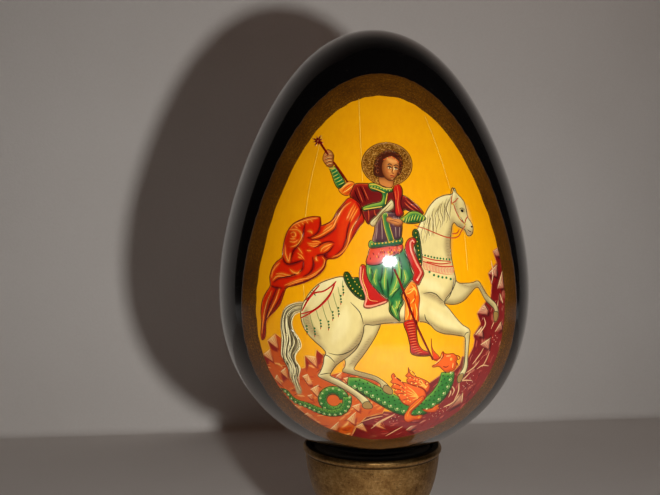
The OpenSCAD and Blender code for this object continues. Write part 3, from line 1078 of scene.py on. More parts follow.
paleFacets = [
    [(-25.7, -22.2), (-23.9, -20.4), (-23.4, -23.6)], [(-26.9, -25.7), (-25.2, -24.2), (-24.6, -26.9)],
    [(-24.2, -31.3), (-23.6, -30.1), (-22.6, -32.6)], [(-22.8, -29.3), (-21.6, -28.1), (-21.2, -30.6)],
    [(-17.3, -24.8), (-14.8, -25), (-14.6, -27.2)], [(-17.8, -29.8), (-16.6, -29.1), (-15.6, -31.3),
     (-16.4, -31.7)], [(-16, -32.8), (-14.2, -31.5), (-14.2, -34.6)], [(-16.7, -34.5), (-15.6, -34),
     (-15.8, -35.2)], [(-20, -37.7), (-19.3, -37.4), (-17.4, -39.4)], [(-17.4, -39.7), (-16.6, -39.1),
     (-14.2, -41.6)], [(-11.5, -43.2), (-9.6, -40.7), (-10, -43.4)], [(-7.7, -40), (-5.9, -37.8),
     (-6.1, -41.2)], [(-6.8, -36.4), (-5, -35.6), (-5.2, -37.6)], [(-10.4, -29.2), (-9.2, -28.2),
     (-9.4, -29.6)], [(-8.8, -29.6), (-7.3, -29.2), (-7.8, -30.6)], [(27.1, -1), (25.3, -1.9), (26.1, -3),
     (26.9, -3)], [(26.2, -5), (23.9, -6.9), (26, -7.6)], [(27.7, -6.5), (26.2, -10.4), (28, -10.3)],
    [(22.6, -13.5), (20.9, -15.5), (23.4, -16), (23.8, -15)], [(22.2, -18.6), (20.5, -20.4), (22.5, -21)],
    [(27.4, -18), (25.8, -20.2), (27.9, -19.8)], [(24.6, -21.5), (22, -22.8), (24.2, -24)],
    [(26.8, -11.4), (27.8, -13.8), (26.7, -12.8)], [(-5.8, -42), (-4.3, -40.8), (-3.2, -43.2)],
    [(18.5, -34), (18.6, -36.6), (15, -38.2)], [(-1.7, -41.4), (0.2, -39.6), (-0.3, -41.4), (1.1, -42.5)],
    [(5.8, -43), (7, -41.8), (8.3, -41.6), (6.8, -43.2)]]
darkFacets = [
    [(-25.7, -22.3), (-24.8, -24.2), (-23.4, -24.6), (-23.5, -23.7)], [(-26.9, -25.8), (-25.9, -28.6),
     (-25.5, -27), (-24.6, -27)], [(-17.3, -25), (-16.9, -28.6), (-16.2, -26.5)], [(-14.8, -23.2),
     (-13.2, -24.5), (-13.8, -26.5), (-14.5, -27)], [(-22.8, -29.5), (-22.3, -32), (-21.3, -30.8)]]
rockStreaks = [
    [(18.7, -29.1), (20.6, -28), (22, -26.5)], [(20.2, -27.2), (22, -25), (22.9, -23.6)], [(21.5, -28.5),
     (22.9, -27.8), (24.7, -28.2)], [(22.8, -28.2), (23.8, -26.6), (24.6, -24.6)], [(16.9, -31.3),
     (18.2, -30.6), (20, -28.9)], [(16.9, -31.3), (18.4, -30.9), (20.6, -31.2)], [(17.2, -31.1),
     (17.3, -33.5), (16.4, -36.1)], [(14, -37.3), (16, -36.5), (17.8, -34.6)], [(14.1, -37.2),
     (16.4, -36.1), (17.7, -34.2)], [(14.6, -32.3), (15.4, -33.4), (15, -34.8)], [(15.4, -31.8),
     (16.2, -33), (15.8, -34.4)], [(24.6, -4), (25, -6.6), (24.6, -9.2)], [(26.4, -13), (26, -16.2),
     (24.6, -19.4)], [(22.6, -16.6), (23, -18.2), (21.4, -20.4)], [(-2.3, -42.3), (0.3, -39.7),
     (2.6, -38.4)], [(-1.8, -41.4), (0.6, -39.8), (2.8, -38.2)], [(1.2, -44.6), (3.4, -42.9),
     (4.9, -41.8)], [(-4.6, -40.4), (-2.2, -39.3), (0.2, -38.7)]]
rockDots = [        # middle, width, rows and slope of the dotted patches
    (19.6, -32.4, 2.6, 3, 0.9), (26, -22.6, 1.6, 3, 0.4), (13.4, -39, 4.6, 3, 0.45), (3, -39.9, 2.4, 2, 0.3)]


def paintRocks(picture):
    c = pigments
    picture.fill(rightRocks, c["rockRed"], [((96, 12, 24), -2, -2, 5)], sharp=True)
    picture.fill(leftRocks, c["rockOrange"], [((182, 64, 14), 0, 3, 6)], sharp=True)
    rng = np.random.default_rng(12)
    leftTones = ((124, 18, 6), (246, 152, 66), (176, 44, 10), (250, 190, 112))
    rightTones = ((88, 8, 26), (196, 96, 88), (170, 44, 34), (112, 14, 30), (214, 132, 116))
    for outline, low, high, count, tones in ((leftRocks, -28, 1, 460, leftTones),
                                             (rightRocks, -5, 29, 560, rightTones)):
        edge = np.array(outline)
        spots = np.stack([rng.uniform(low, high, count), rng.uniform(-45, -2, count)], 1)
        inside = picture.distances(spots[:, 0], spots[:, 1], edge, True)
        for k, ((x, z), depth) in enumerate(zip(spots, inside)):
            if depth < 0.4:
                continue
            turn = math.atan2((z + 8) / 1.4, x) + math.pi / 2 + rng.uniform(-0.5, 0.5)
            if outline is leftRocks:
                turn += 0.9
            run = rng.uniform(0.8, 2.4)
            ahead = np.array([math.cos(turn), math.sin(turn)])
            aside = np.array([-ahead[1], ahead[0]]) * run * rng.uniform(-0.16, 0.16)
            spot = np.array([x, z])
            path = [spot - ahead * run / 2, spot + aside, spot + ahead * run / 2]
            if k % 3:
                picture.wash(path, tones[k % len(tones)], rng.uniform(0.16, 0.5), 0.8, 0.2)
            else:
                picture.line(path, tones[k % len(tones)], rng.uniform(0.12, 0.2))
    for facet in darkFacets:
        picture.fill(facet, c["deepRed"], sharp=True, cover=False)
    for facet in paleFacets:
        tip, foot = np.array(facet[0]), np.array(facet[-1])
        shadow = np.array(facet) * 0.8 + (foot + (0.5, -0.9)) * 0.2 + (0.35, -0.5)
        dark = c["deepRed"] if facet[0][0] < 0 else (60, 6, 14)
        picture.fill(shadow, dark, sharp=True, cover=False, strength=0.8)
        left = tip[0] < 0
        picture.fill(facet, c["cream"] if left else (222, 178, 150),
                     [((222, 136, 84) if left else (178, 92, 84), 0.3, -0.6, 0.7)], sharp=True, cover=False)
        picture.line([facet[0], facet[1]], (250, 226, 184), 0.2)
        picture.line([tip, foot + (0.1, -0.4)], dark, 0.2)
        for share in (0.35, 0.6, 0.85):       # hatching down the lit face
            start = tip + (np.array(facet[1]) - tip) * share
            picture.line([start, start + (foot - start) * 0.7], (206, 110, 66) if left else (170, 84, 78),
                         0.12)
    for outline, colour in ((leftRocks, (246, 178, 84)), (rightRocks, (214, 120, 92))):
        for a, b in zip(outline[1:-3], outline[2:-2]):
            picture.line([a, b], colour, 0.2, 0.5)
    picture.lines(rockStreaks, (232, 184, 150), 0.34)
    for x, z, wide, rows, slope in rockDots:
        for up in range(rows):
            for along in np.arange(-wide / 2 + 0.4 * (up % 2), wide / 2, 0.8) + rng.uniform(-0.15, 0.15):
                picture.dots([(x + along, z + 0.75 * up + along * slope + rng.uniform(-0.15, 0.15))],
                             (232, 184, 170), 0.2)


dragonTail = [
    (-22.9, -33.6), (-21.5, -34), (-20.4, -35.5), (-19, -36.4), (-17, -36.9), (-15, -37.7), (-13, -38.3),
    (-11, -38.4), (-9, -37.7), (-8, -36), (-7.9, -34)]
dragonBody = [
    (-7.8, -30.6), (-5.5, -30.8), (-3, -32.2), (0, -34), (3, -35.8), (5.5, -36.8), (8.4, -37.2), (10.4, -36),
    (12.6, -33.8), (14, -31), (14.3, -28.6)]
frontWing = [
    (2, -28.2), (2.7, -29.3), (3.8, -30.2), (5.2, -30.6), (6.5, -31.2), (8, -31.7), (9.1, -32.5),
    (9.6, -33.8), (9, -35.1), (7.5, -35.9), (6.2, -36.2), (4.9, -35.8), (4, -34.9), (3.5, -34),
    (3, -33.2), (2.3, -32.6), (2.7, -31.9), (1.6, -31.5), (2.1, -30.7), (1.4, -30.2), (1.9, -29.6),
    (1.5, -28.9)]
backWing = [
    (5.2, -26.9), (5.5, -28), (6.2, -28.8), (7.5, -29.3), (8.8, -29.9), (10, -30.7), (10.3, -31.9),
    (9.7, -33.1), (9.3, -32.5), (8.2, -31.7), (6.2, -31), (5.4, -30.6), (4.9, -29.8), (5.4, -29.4),
    (4.6, -28.8), (5.2, -28.3)]
dragonHead = [
    (10.8, -25.4), (12.1, -25.2), (12.5, -24.3), (12.8, -23.5), (13.2, -24.1), (14.2, -24.3), (15.2, -24.2),
    (15.8, -24.6), (16.4, -25.4), (16.1, -26.1), (16.2, -27.1), (15.7, -28), (14, -28.5), (12.9, -27.7),
    (12.1, -27), (10.9, -27.1), (10.4, -26.9), (11.3, -26.4), (12.1, -25.9)]
dragonJaw = [
    (10.1, -20.6), (10.3, -22.5), (10.9, -23.6), (11.9, -24.6), (12.2, -25.2), (11.5, -25.6), (10.8, -25.4),
    (10.5, -24.1), (10.2, -22.5)]
dragonLeg = [
    (8.8, -33.8), (9.3, -34.5), (8.4, -35.8), (7.4, -36.8), (6.7, -37.6), (6.5, -38.6), (7.5, -39),
    (8.6, -38.8), (9.3, -39), (9.3, -39.4), (8.7, -40.1), (7.5, -40.1), (6.2, -40.7), (5.2, -40.1),
    (5, -38.7), (5.7, -37.2), (6.2, -36.1)]
dragonFoot = [
    (9.1, -37.4), (10.4, -37.4), (11.4, -37.2), (12.1, -36.5), (13, -36.4), (12.6, -37), (13.3, -37.3),
    (12.6, -37.8), (12.6, -38.2), (11.4, -38.4), (10.3, -38.2)]


def paintScales(picture, path, widths, every):
    # large dots cupped by pale arcs along the lower edge, small dark dots along the upper one
    c = pigments
    line = resample(curve(path), int(lengthOf(path) / every))
    along = np.gradient(line, axis=0)
    along /= np.linalg.norm(along, axis=1)[:, None]
    side = np.stack([along[:, 1], -along[:, 0]], 1)
    wide = np.interp(np.linspace(0, 1, len(line)), np.linspace(0, 1, len(widths)), widths)[:, None] / 2
    size = 0.3 * every
    low = line + side * wide * 0.42
    picture.dots(low[1:], (222, 232, 178), size * 1.1)
    for place, out, ahead in zip(low[1:], side[1:], along[1:]):
        reach = size * 1.5
        picture.line([place - ahead * reach, place + out * reach * 0.8, place + ahead * reach],
                     (150, 200, 120), 0.2)
        picture.line([place - ahead * reach * 1.3, place + out * reach * 1.15, place + ahead * reach * 1.3],
                     c["dragonDark"], 0.16)
    for shift, lean in ((0.05, 0.5), (-0.35, 0), (-0.68, 0.5)):
        picture.dots(line[1:] + along[1:] * every * lean - side[1:] * wide[1:] * -shift, c["dragonDark"],
                     size * 0.75)


def paintDragon(picture):
    c = pigments
    orangeSides = [((190, 60, 10), 0.35, -0.5, 0.6)]
    tube = [((120, 176, 66), -0.1, 0.5, 0.7), (c["dragonDark"], 0.1, -0.55, 0.5)]
    picture.fill([(-12.9, -35), (-10.6, -33), (-8.4, -34.8), (-10.6, -37)], c["rockOrange"], cover=True)
    ring = [(-10.9 + 2.45 * math.cos(a), -35 + 2.45 * math.sin(a)) for a in np.linspace(0.2, 5.9, 22)]
    tailWidths, ringWidths, bodyWidths = (0.5, 1.3, 1.9, 2), (2.1, 1.9, 1.7), (2.6, 3.4, 3.8, 4, 3.7, 3.7,
                                                                               3.2)
    for path, widths, every in ((ring, ringWidths, 1), (dragonTail, tailWidths, 1.05),
                                (dragonBody, bodyWidths, 1.5)):
        picture.fill(ribbon(path, widths), c["dragon"], tube, edge=((8, 44, 16), 0.2))
        paintScales(picture, path, widths, every)
    picture.fill(dragonFoot, c["orange"], orangeSides, edge=(c["deepRed"], 0.2))
    picture.lines([[(12.4, -36.9), (12.8, -36.5)], [(12.6, -37.3), (13.1, -37.3)]], c["orangeLight"], 0.24)
    picture.fill(dragonJaw, (226, 60, 14), orangeSides, edge=(c["deepRed"], 0.2))
    for shape, hinge, tips in (
            (backWing, (9.6, -32.2), [(5.4, -27.4), (5.2, -28.9), (5.6, -30.2), (7.4, -29.7), (9, -30.4)]),
            (frontWing, (8.4, -34.6), [(2, -28.8), (1.9, -30.4), (2.2, -31.8), (3, -33), (4.2, -34.7)])):
        picture.fill(shape, (234, 98, 16), orangeSides, edge=(c["deepRed"], 0.24))
        for tip in tips:
            far = np.array(tip) + (np.array(hinge) - tip) * 0.42
            bow = (np.array(tip) + far) / 2 + (0.15, 0.25)
            picture.line([tip, bow, far], c["deepRed"], 0.2)
            picture.dots([np.array(tip) + (0.5, -0.4), bow + (0.35, -0.3), far + (0.1, -0.4)],
                         (250, 206, 110), 0.32)
            picture.line([np.array(hinge) - (0.3, -0.2), (far + hinge) / 2 + (0.2, 0.2), far + (0.5, -0.1)],
                         (248, 190, 90), 0.26)
    picture.fill(dragonLeg, c["orange"], orangeSides, edge=(c["deepRed"], 0.22))
    picture.lines([[(8.7, -34.6), (7.2, -36.2), (6, -37.6), (5.7, -39)], [(8.8, -39.1), (8.2, -39.4)],
                   [(8.9, -39.5), (8.1, -39.6)]], c["orangeLight"], 0.26)
    picture.fill(dragonHead, (240, 96, 16), orangeSides, edge=(c["deepRed"], 0.24))
    picture.lines([[(15.7, -24.6), (16.4, -24.8), (17, -25.3), (16.6, -25.7), (16.2, -25.4)],
                   [(15.9, -26.1), (16.4, -26.7), (16.6, -27.3)], [(13, -27), (13.8, -27.3), (14.4, -26.9)],
                   [(12.8, -23.6), (13, -24.6), (12.4, -25.4), (11.5, -26.2)]], c["deepRed"], 0.28)
    picture.lines([[(12.6, -24.1), (12.6, -25), (11.9, -25.7), (10.9, -26.6)], [(13.6, -24.7),
                    (14.8, -24.7)], [(15.4, -26.4), (15.3, -27.6)]], (252, 196, 120), 0.28)
    picture.dots([(14.9, -25.5)], (250, 190, 90), 0.66)
    picture.dots([(14.95, -25.5)], c["black"], 0.44)


horseBody = [
    (15.4, 10.9), (13.5, 10.5), (11.5, 9.6), (9.8, 7.8), (8.9, 6.2), (7.2, 3.2), (6.9, 1), (5, -3), (-2, -7),
    (-7, -7.4), (-9.4, -7.2), (-10.8, -7.5), (-12.6, -8.1), (-14.2, -8.9), (-15.8, -10.4), (-16.9, -12),
    (-17.7, -13.4), (-18.1, -15.8), (-17.6, -18), (-16.4, -20), (-14.8, -21.6), (-13.2, -23),
    (-12.6, -23.9), (-13, -24.8), (-13.2, -26.5), (-13.9, -28.4), (-14.4, -29.2), (-13.6, -29.8),
    (-12, -30.5), (-9.6, -31.6), (-7.4, -32.9), (-5.6, -34.3), (-4.6, -35.6), (-4.2, -36.4),
    (-3.2, -36.8), (-2.4, -36.4), (-2.6, -35.6), (-3.6, -34.2), (-5.2, -32.9), (-7.6, -31.2),
    (-10, -29.8), (-11.7, -29), (-11.4, -28.2), (-10.4, -26.6), (-9, -25.4), (-7.6, -24.3), (-6.2, -22.8),
    (-5.2, -21), (-4.6, -19), (-4.4, -17.5), (-2.5, -17.5), (0, -17.1), (3.3, -17), (8.2, -16.9),
    (9.8, -17.6), (11, -18.8), (12.8, -19.6), (14.8, -19.9), (16.6, -20.3), (17.8, -20.6), (18.1, -21.5),
    (18.1, -23.5), (18.15, -26), (18, -27.6), (17.6, -28.4), (16.9, -29.4), (16.8, -30.8), (17.5, -31.2),
    (18, -30.3), (18.7, -28.8), (19, -27.3), (18.9, -26), (18.95, -23), (19.1, -20.5), (19.1, -19.3),
    (18.6, -18.7), (17.4, -18), (15.8, -16.4), (14, -14.2), (12.9, -12.8), (14.9, -10), (15.6, -8),
    (15.3, -6.5), (14.9, -4.5), (14.5, -2), (14.45, 0), (14.7, 2), (15.1, 4), (15.6, 4.5), (16.2, 3.8),
    (17.1, 3.4), (18.1, 2.8), (18.6, 1.7), (19.3, 1.5), (20, 2.2), (20.15, 3.4), (19.8, 4.4), (18.9, 5.8),
    (18.7, 7.2), (18.2, 9.2), (17.2, 10.4), (16.4, 11.2), (16.1, 12.2), (15.8, 12.1)]
farForeleg = [
    (15.3, -6.5), (15.6, -8), (16.3, -8.7), (18, -8.8), (19.8, -8.7), (20.6, -8.4), (21.2, -8.5), (22, -9.6),
    (23.2, -11.4), (24.6, -12.7), (25.8, -13.8), (26.4, -15), (26.5, -16.2), (26.2, -17.4), (25.6, -17.8),
    (25.2, -17), (25.5, -15.8), (25.2, -14.8), (24.2, -13.9), (22.8, -12.6), (21.6, -10.6), (21, -9.8),
    (20.2, -10), (18.8, -11.4), (17.3, -12.7), (15.5, -13.3), (13.8, -13.2), (12.9, -12.8)]
farHindLeg = [
    (-1.1, -17), (-1.6, -19), (-2.5, -20.8), (-3.6, -22.6), (-4.8, -24.4), (-5.8, -25.8), (-6.6, -27.3),
    (-6.2, -27.6), (-4, -28.2), (-2, -28.8), (-0.6, -29.6), (0.6, -30.6), (1.4, -31.6), (1.9, -32.4),
    (1.7, -33.1), (0.2, -32.4), (-0.6, -31.5), (-0.8, -30.7), (-2.4, -29.7), (-5, -29), (-7.6, -28.4),
    (-9, -28), (-9, -27.6), (-8.5, -26.8), (-8.4, -25.6), (-8.7, -25), (-7.6, -24.3), (-6, -22.6),
    (-5, -20.5), (-4.4, -17)]
tailLeft = [
    (-17.6, -12.9), (-20, -13.4), (-21.6, -14.4), (-22.4, -16.5), (-22.5, -19), (-22.1, -21.4),
    (-22.3, -23.5), (-22.3, -25.2), (-21.6, -26.6), (-20.7, -28.4), (-20.6, -30), (-19.9, -31.6),
    (-19.4, -33), (-19, -34.3)]
tailRight = [
    (-17.6, -15), (-18.7, -15.2), (-19.6, -16), (-20, -17.2), (-19.9, -18.4), (-19.2, -20), (-18.3, -21.6),
    (-18.2, -23), (-18.9, -24.2), (-19.7, -25.2), (-18.9, -26.5), (-18.2, -28), (-18.3, -28.8),
    (-18.9, -30.2), (-18.6, -31.6), (-18, -33), (-18.2, -34.2)]
maneFront = [(15.2, 10.6), (14.6, 8.2), (14.9, 6), (14.2, 4.4)]
maneBack = [(8.8, 6.2), (8.2, 3.4), (7.8, 0.5), (7.6, -1.8)]
rumpStraps = [
    [(-10.4, -8.2), (-11.6, -9.4), (-13.2, -10.4), (-15, -10.8), (-17, -12.4)], [(-10.6, -8.4),
     (-11.4, -10.4), (-13, -12.6), (-15.2, -14.5), (-18, -15.5)], [(-10.9, -9), (-11.8, -11.3),
     (-13.6, -13.4), (-16, -15.2), (-18.1, -16.4)], [(-14, -9.1), (-15.8, -11.2), (-17.2, -13.5)],
    [(-15.2, -10.8), (-16.6, -12.6), (-17.8, -14.8)]]
tassels = [
    (-8.9, -10), (-9.4, -12), (-9.9, -14.6), (-11.1, -15.5), (-12, -17.6), (-13.7, -17.4), (-15, -19.2),
    (-16.7, -18.8)]
breastDots = [(7.6, -5.3), (9.6, -6.2), (10.6, -6.9), (11.6, -7.2), (12.5, -7.4), (13.4, -7.5), (14.4, -7.8)]
muscleLines = [
    [(8.2, -10.8), (9.8, -10.6), (11, -11), (12, -12), (12.9, -12.8)], [(8.5, -15.2), (8.8, -16.4),
     (9.8, -17.6)], [(12.9, -12.8), (14.2, -11.4), (14.9, -9.4), (15.2, -7.5)], [(-4.6, -17.3),
     (-5.4, -14.8), (-7.4, -12.6)], [(-13.4, -24.2), (-12, -24.6), (-10.6, -26)], [(-11.4, -28.4),
     (-12.6, -28.6), (-14, -29)], [(17.8, -20.4), (18.2, -19.8), (18.9, -19.6)], [(-5.4, -21.4),
     (-7.6, -23.4), (-10, -24.2), (-12.2, -23.8)]]
softShades = [      # where the flanks, neck and legs turn away
    ([(14.9, 3.6), (13.9, 0), (14.2, -4)], 1.7), ([(-17, -14.2), (-16.6, -17.4), (-14, -20.6)], 1.9),
    ([(-4.6, -18.6), (-6.6, -22), (-9.6, -25), (-11.2, -27.6)], 1.4), ([(-3, -16.9), (2, -16.3),
      (8, -16.2)], 1.5), ([(9.6, -17), (13, -19), (17.6, -20)], 1.1), ([(8, -10.6), (11, -11.6),
      (12.8, -13.4)], 1.5), ([(17.9, -21), (18.2, -25), (17.8, -28)], 0.5), ([(-13.6, -29.6),
      (-9.4, -31.3), (-5.2, -34.2)], 0.6), ([(16.6, -9), (19, -9.6), (21.2, -9.4), (23.6, -12.4)], 0.9),
    ([(-3, -20), (-5, -23.4), (-7.6, -26.6)], 1.4), ([(-6.8, -28), (-3, -28.9), (0.2, -31)], 0.5),
    ([(15.8, 4.2), (17.6, 3.4), (19, 2)], 0.8), ([(16.4, 10.4), (16.2, 8.2), (16.8, 6.2)], 0.7)]
softLights = [
    ([(-9, -8.4), (-13, -10), (-15.6, -14)], 2.6), ([(-8.4, -14), (-9.4, -18), (-11, -21)], 3.2),
    ([(7.6, -8), (10, -9), (12.4, -10)], 2.2), ([(18.6, 8), (19, 5.6), (19.6, 3.6)], 0.7), ([(10, -14.4),
      (13, -16.6), (16.4, -18.8)], 1.7), ([(2, -14.6), (6, -14.4), (8, -13)], 2.2)]


def paintHorse(picture):
    c = pigments
    far = [((150, 134, 96), 0.2, -0.9, 0.8)]
    edge = (c["horseLine"], 0.22)
    for leg in (farForeleg, farHindLeg):
        picture.fill(leg, (214, 200, 154), far, edge=edge)
    picture.fill([(25.2, -15.6), (26.5, -15.8), (26.2, -17.6), (25.5, -17.9)], c["hoof"], edge=edge)
    picture.fill([(0.2, -30.9), (1.3, -31.4), (2.1, -32.6), (1.6, -33.3), (-0.2, -32.2)], c["hoof"],
                 edge=edge)
    picture.fill(tailLeft + tailRight[::-1], (206, 194, 156), [(c["horseShade"], 0.9, 0.2, 1.2)])
    picture.strands(tailLeft, tailRight, 17, ((250, 242, 206), (104, 92, 66)), 0.3, 0.25, 3, (0.02, 0.98))
    picture.strands(tailLeft, tailRight, 12, ((70, 60, 42), (236, 224, 184)), 0.24, 0.3, 6, (0, 1), (0.1, 1))
    picture.fill(horseBody, c["horse"], [(c["horseShade"], 0.3, -0.9, 1.1),
                  (c["horseLight"], -0.5, 0.9, 0.9)], edge=(c["horseLine"], 0.24))
    for path, width in softShades:
        picture.wash(path, c["horseShade"], width, 0.7, 1.2)
    for path, width in softLights:
        picture.wash(path, c["horseLight"], width, 0.6, 1.6)
    rng = np.random.default_rng(4)
    for path, width in softShades:       # fine hatching along each turned edge
        line = resample(curve(path), 3 + int(lengthOf(path) / 0.75))
        for x, z in line[1:-1]:
            lean = rng.uniform(-0.25, 0.25)
            picture.line([(x - 0.3 * width, z + lean), (x, z + 0.08), (x + 0.3 * width, z - lean)],
                         (150, 134, 100), 0.1, 0.2)
    picture.lines(muscleLines, c["horseLine"], 0.2)
    picture.fill([(-4.5, -35.6), (-3.4, -34.9), (-2.4, -35.8), (-2.3, -36.6), (-3.4, -36.9), (-4.4, -36.5)],
                 c["hoof"], edge=edge)
    picture.fill([(16.9, -29.4), (18.1, -29.2), (17.9, -30.6), (17.3, -31.4), (16.7, -30.9)], c["hoof"],
                 edge=edge)
    picture.strands(maneFront, maneBack, 26, ((146, 132, 96), (238, 228, 188), (126, 112, 80), (176, 162,
                      122)), 0.18, 0.45, 8)
    picture.lines([[(14.9, 10.6), (15.6, 12.3), (16.2, 11)], [(15.3, 10.6), (15.7, 11.5)]], c["horseLine"],
                  0.22)
    picture.wash([(17.1, 7.5), (18.3, 7)], (150, 136, 96), 0.9, 0.6, 0.6)
    picture.dots([(17.6, 7.1)], c["black"], 0.62)
    picture.lines([[(16.9, 7.5), (17.6, 7.75), (18.3, 7.3)], [(18.7, 3), (19.2, 2.6), (19.7, 2.4)],
                   [(17.2, 5.8), (17.8, 4.6), (18.4, 4)]], c["horseLine"], 0.18)
    picture.dots([(19.8, 3.6)], (70, 40, 30), 0.4)
    picture.wash([(18.8, 2.2), (19.6, 2.5)], (190, 150, 130), 0.7, 0.6, 0.5)
    picture.lines([[(15.4, 10.6), (15.1, 9.6), (15.2, 8.5)], [(15.6, 8.6), (16.2, 6.8), (17, 5.3),
                    (18.1, 4.2)], [(15.1, 8.6), (16, 9.2), (16.8, 10)], [(18.1, 4.2), (18.4, 5.2), (19, 6)],
                   [(6.5, 3.8), (9, 3), (11.5, 2), (13.5, 1.3), (15.5, 1.1), (16.6, 1.6), (17.2, 2.6),
                    (18.2, 3.8)], [(15, 2), (16.2, 2.2), (16.7, 3)]], c["bridle"], 0.26, 0.7)
    picture.dots([(15.4, 8.6), (18.1, 4.2), (16.9, 5.6)], c["gold"], 0.4)
    band = curve([(7.9, -3.5), (10, -4.3), (12.5, -4.9), (15, -4.9)])
    picture.wash(band, (222, 120, 100), 1.0, 0.4, 0.5)
    picture.lines([[(7.8, -3.8), (10, -4.5), (12.5, -5.1), (15.1, -5.1)], [(9, -4), (12, -4.5),
                    (14.6, -4.3)], [(7.7, -2.8), (10.4, -3.6), (14.4, -4)]], c["red"], 0.24, 0.8)
    for x, z in resample(band, 22):
        picture.line([(x, z - 0.3), (x + 0.1, z - 0.9), (x - 0.05, z - 1.8)], c["pinkFringe"], 0.2)
    picture.dots(resample([(8, -2.5), (11, -3.2), (14.2, -3.6)], 10), c["green"], 0.42)
    picture.lines([[(7.6, -5.3), (9.6, -5.9), (11.6, -6.4), (13.4, -6.8), (15, -6.8)]], c["pinkFringe"],
                  0.16)
    picture.dots(breastDots, c["green"], 0.5)
    for strap in rumpStraps:
        picture.line(strap, c["red"], 0.34, 0.7)
        picture.dots(resample(curve(strap), 9)[1:-1], (246, 200, 150), 0.16)
    for k in range(6):       # small leaf rosette where the straps cross
        turn = math.pi * k / 3
        picture.line([(-15.2, -10.8), (-15.2 + 0.75 * math.cos(turn), -10.8 + 0.75 * math.sin(turn))],
                     c["green"], 0.28)
    hang = resample(curve([(-9, -8), (-11, -10.6), (-13.4, -13.2), (-15.6, -15), (-17.6, -16.2)]),
                    len(tassels))
    for (x, z), start in zip(tassels, hang):
        picture.line([start, ((start[0] + x) / 2 - 0.1, (start[1] + z) / 2), (x, z)], (122, 150, 96), 0.13,
                     0.8)
        picture.dots([(x, z), (x - 0.05, z + 0.7), (x + 0.05, z - 0.6)], (24, 96, 52), 0.4)
        picture.line([(x, z - 0.6), (x - 0.05, z - 1.3)], c["red"], 0.2)


cloakShape = [
    (-5.2, 8.6), (-6.4, 9.6), (-7.6, 9.8), (-8.8, 8.6), (-10.2, 6.8), (-11.2, 5), (-12.4, 4.2), (-13.6, 3.7),
    (-13.6, 3.7), (-13.8, 5.7), (-13.8, 5.7), (-15.4, 5.8), (-17.6, 5.3), (-19.6, 4.3), (-20.9, 2.9),
    (-21.7, 0.8), (-22.1, -1.4), (-22.3, -3.2), (-23.6, -4.3), (-24.5, -5.6), (-25.1, -7.6), (-25, -9.6),
    (-26.1, -11.4), (-26.9, -13.2), (-27.2, -15.6), (-27.1, -18.4), (-27.3, -21), (-27.1, -22.2),
    (-27.1, -22.2), (-26.5, -21.8), (-26.1, -20), (-26, -17.4), (-25, -16.2), (-23.6, -14.8),
    (-22.6, -13.4), (-21.9, -11.4), (-21.2, -9.9), (-19, -9.2), (-16.8, -8.4), (-14.6, -7), (-13.1, -5.4),
    (-12.4, -3.6), (-10.6, -3.3), (-9.2, -2.4), (-8, -0.6), (-6.6, 1.6), (-5.2, 3.8), (-4.4, 4.7),
    (-4.8, 6.6)]
darkFolds = [       # width, then the fold's points
    (0.9, [(-17.2, 4.2), (-17.5, 2.4), (-17.9, 0.8), (-18.8, -0.6), (-19.6, -1.6), (-20.1, -2.8),
      (-20.3, -4.2)]), (0.7, [(-10.2, 4.4), (-10.7, 3.1), (-11.8, 2.2), (-13.4, 1.2), (-15, 0.7),
      (-16.4, 1)]), (0.6, [(-13.8, 5), (-13.9, 3.6), (-14.3, 2.4), (-15.4, 1.5), (-16.8, 1.1)]),
    (0.6, [(-10.8, 0.1), (-11.8, 0.3), (-13.2, 0), (-14.2, -0.6), (-15.2, -1.1)]), (0.6, [(-10.9, -0.5),
      (-12, -1.8), (-13, -2.4), (-14.6, -2.8), (-15, -3.7)]), (0.9, [(-22.2, -3.1), (-21.6, -4.3),
      (-20.7, -4.7), (-19.4, -4.4), (-18, -3.9), (-17.5, -3.8)]), (0.8, [(-17.5, -4), (-17.6, -5.4),
      (-18.2, -6.2), (-19.4, -6.9), (-21.2, -7.5), (-23, -7.9), (-24.2, -8.8)]), (0.7, [(-17.6, -7.4),
      (-16.1, -6.5), (-15.3, -4.9), (-15.5, -3)]), (0.6, [(-12.4, -3.6), (-13, -5.5), (-14.6, -7.1),
      (-16.8, -8.2), (-19, -9), (-21, -9.7)]), (0.5, [(-8.2, 8.7), (-9.7, 7), (-10.7, 5.5), (-11.7, 4.4),
      (-13.2, 3.9)]), (0.6, [(-7.3, 5), (-7.9, 3), (-8.3, 0.6), (-9.2, -1.4), (-10.6, -2.6)]),
    (0.5, [(-6, 8.9), (-5.2, 7.5), (-5.1, 6.2), (-6.1, 4.6), (-7, 2.6)]), (0.8, [(-12.2, -3.3),
      (-13, -2.7), (-12.2, -2.6)]), (0.7, [(-24.8, -9.6), (-23.6, -10), (-22.2, -10)]),
    (0.8, [(-23.4, -9.8), (-24.4, -12.4), (-25.4, -15), (-26.4, -18.4), (-26.9, -21.6)]),
    (0.5, [(-22, -10.6), (-23, -12.8), (-24.6, -15.2), (-25.9, -17.4)]), (0.5, [(-24.9, -11.2),
      (-25.8, -13.8), (-26.4, -16.6)])]
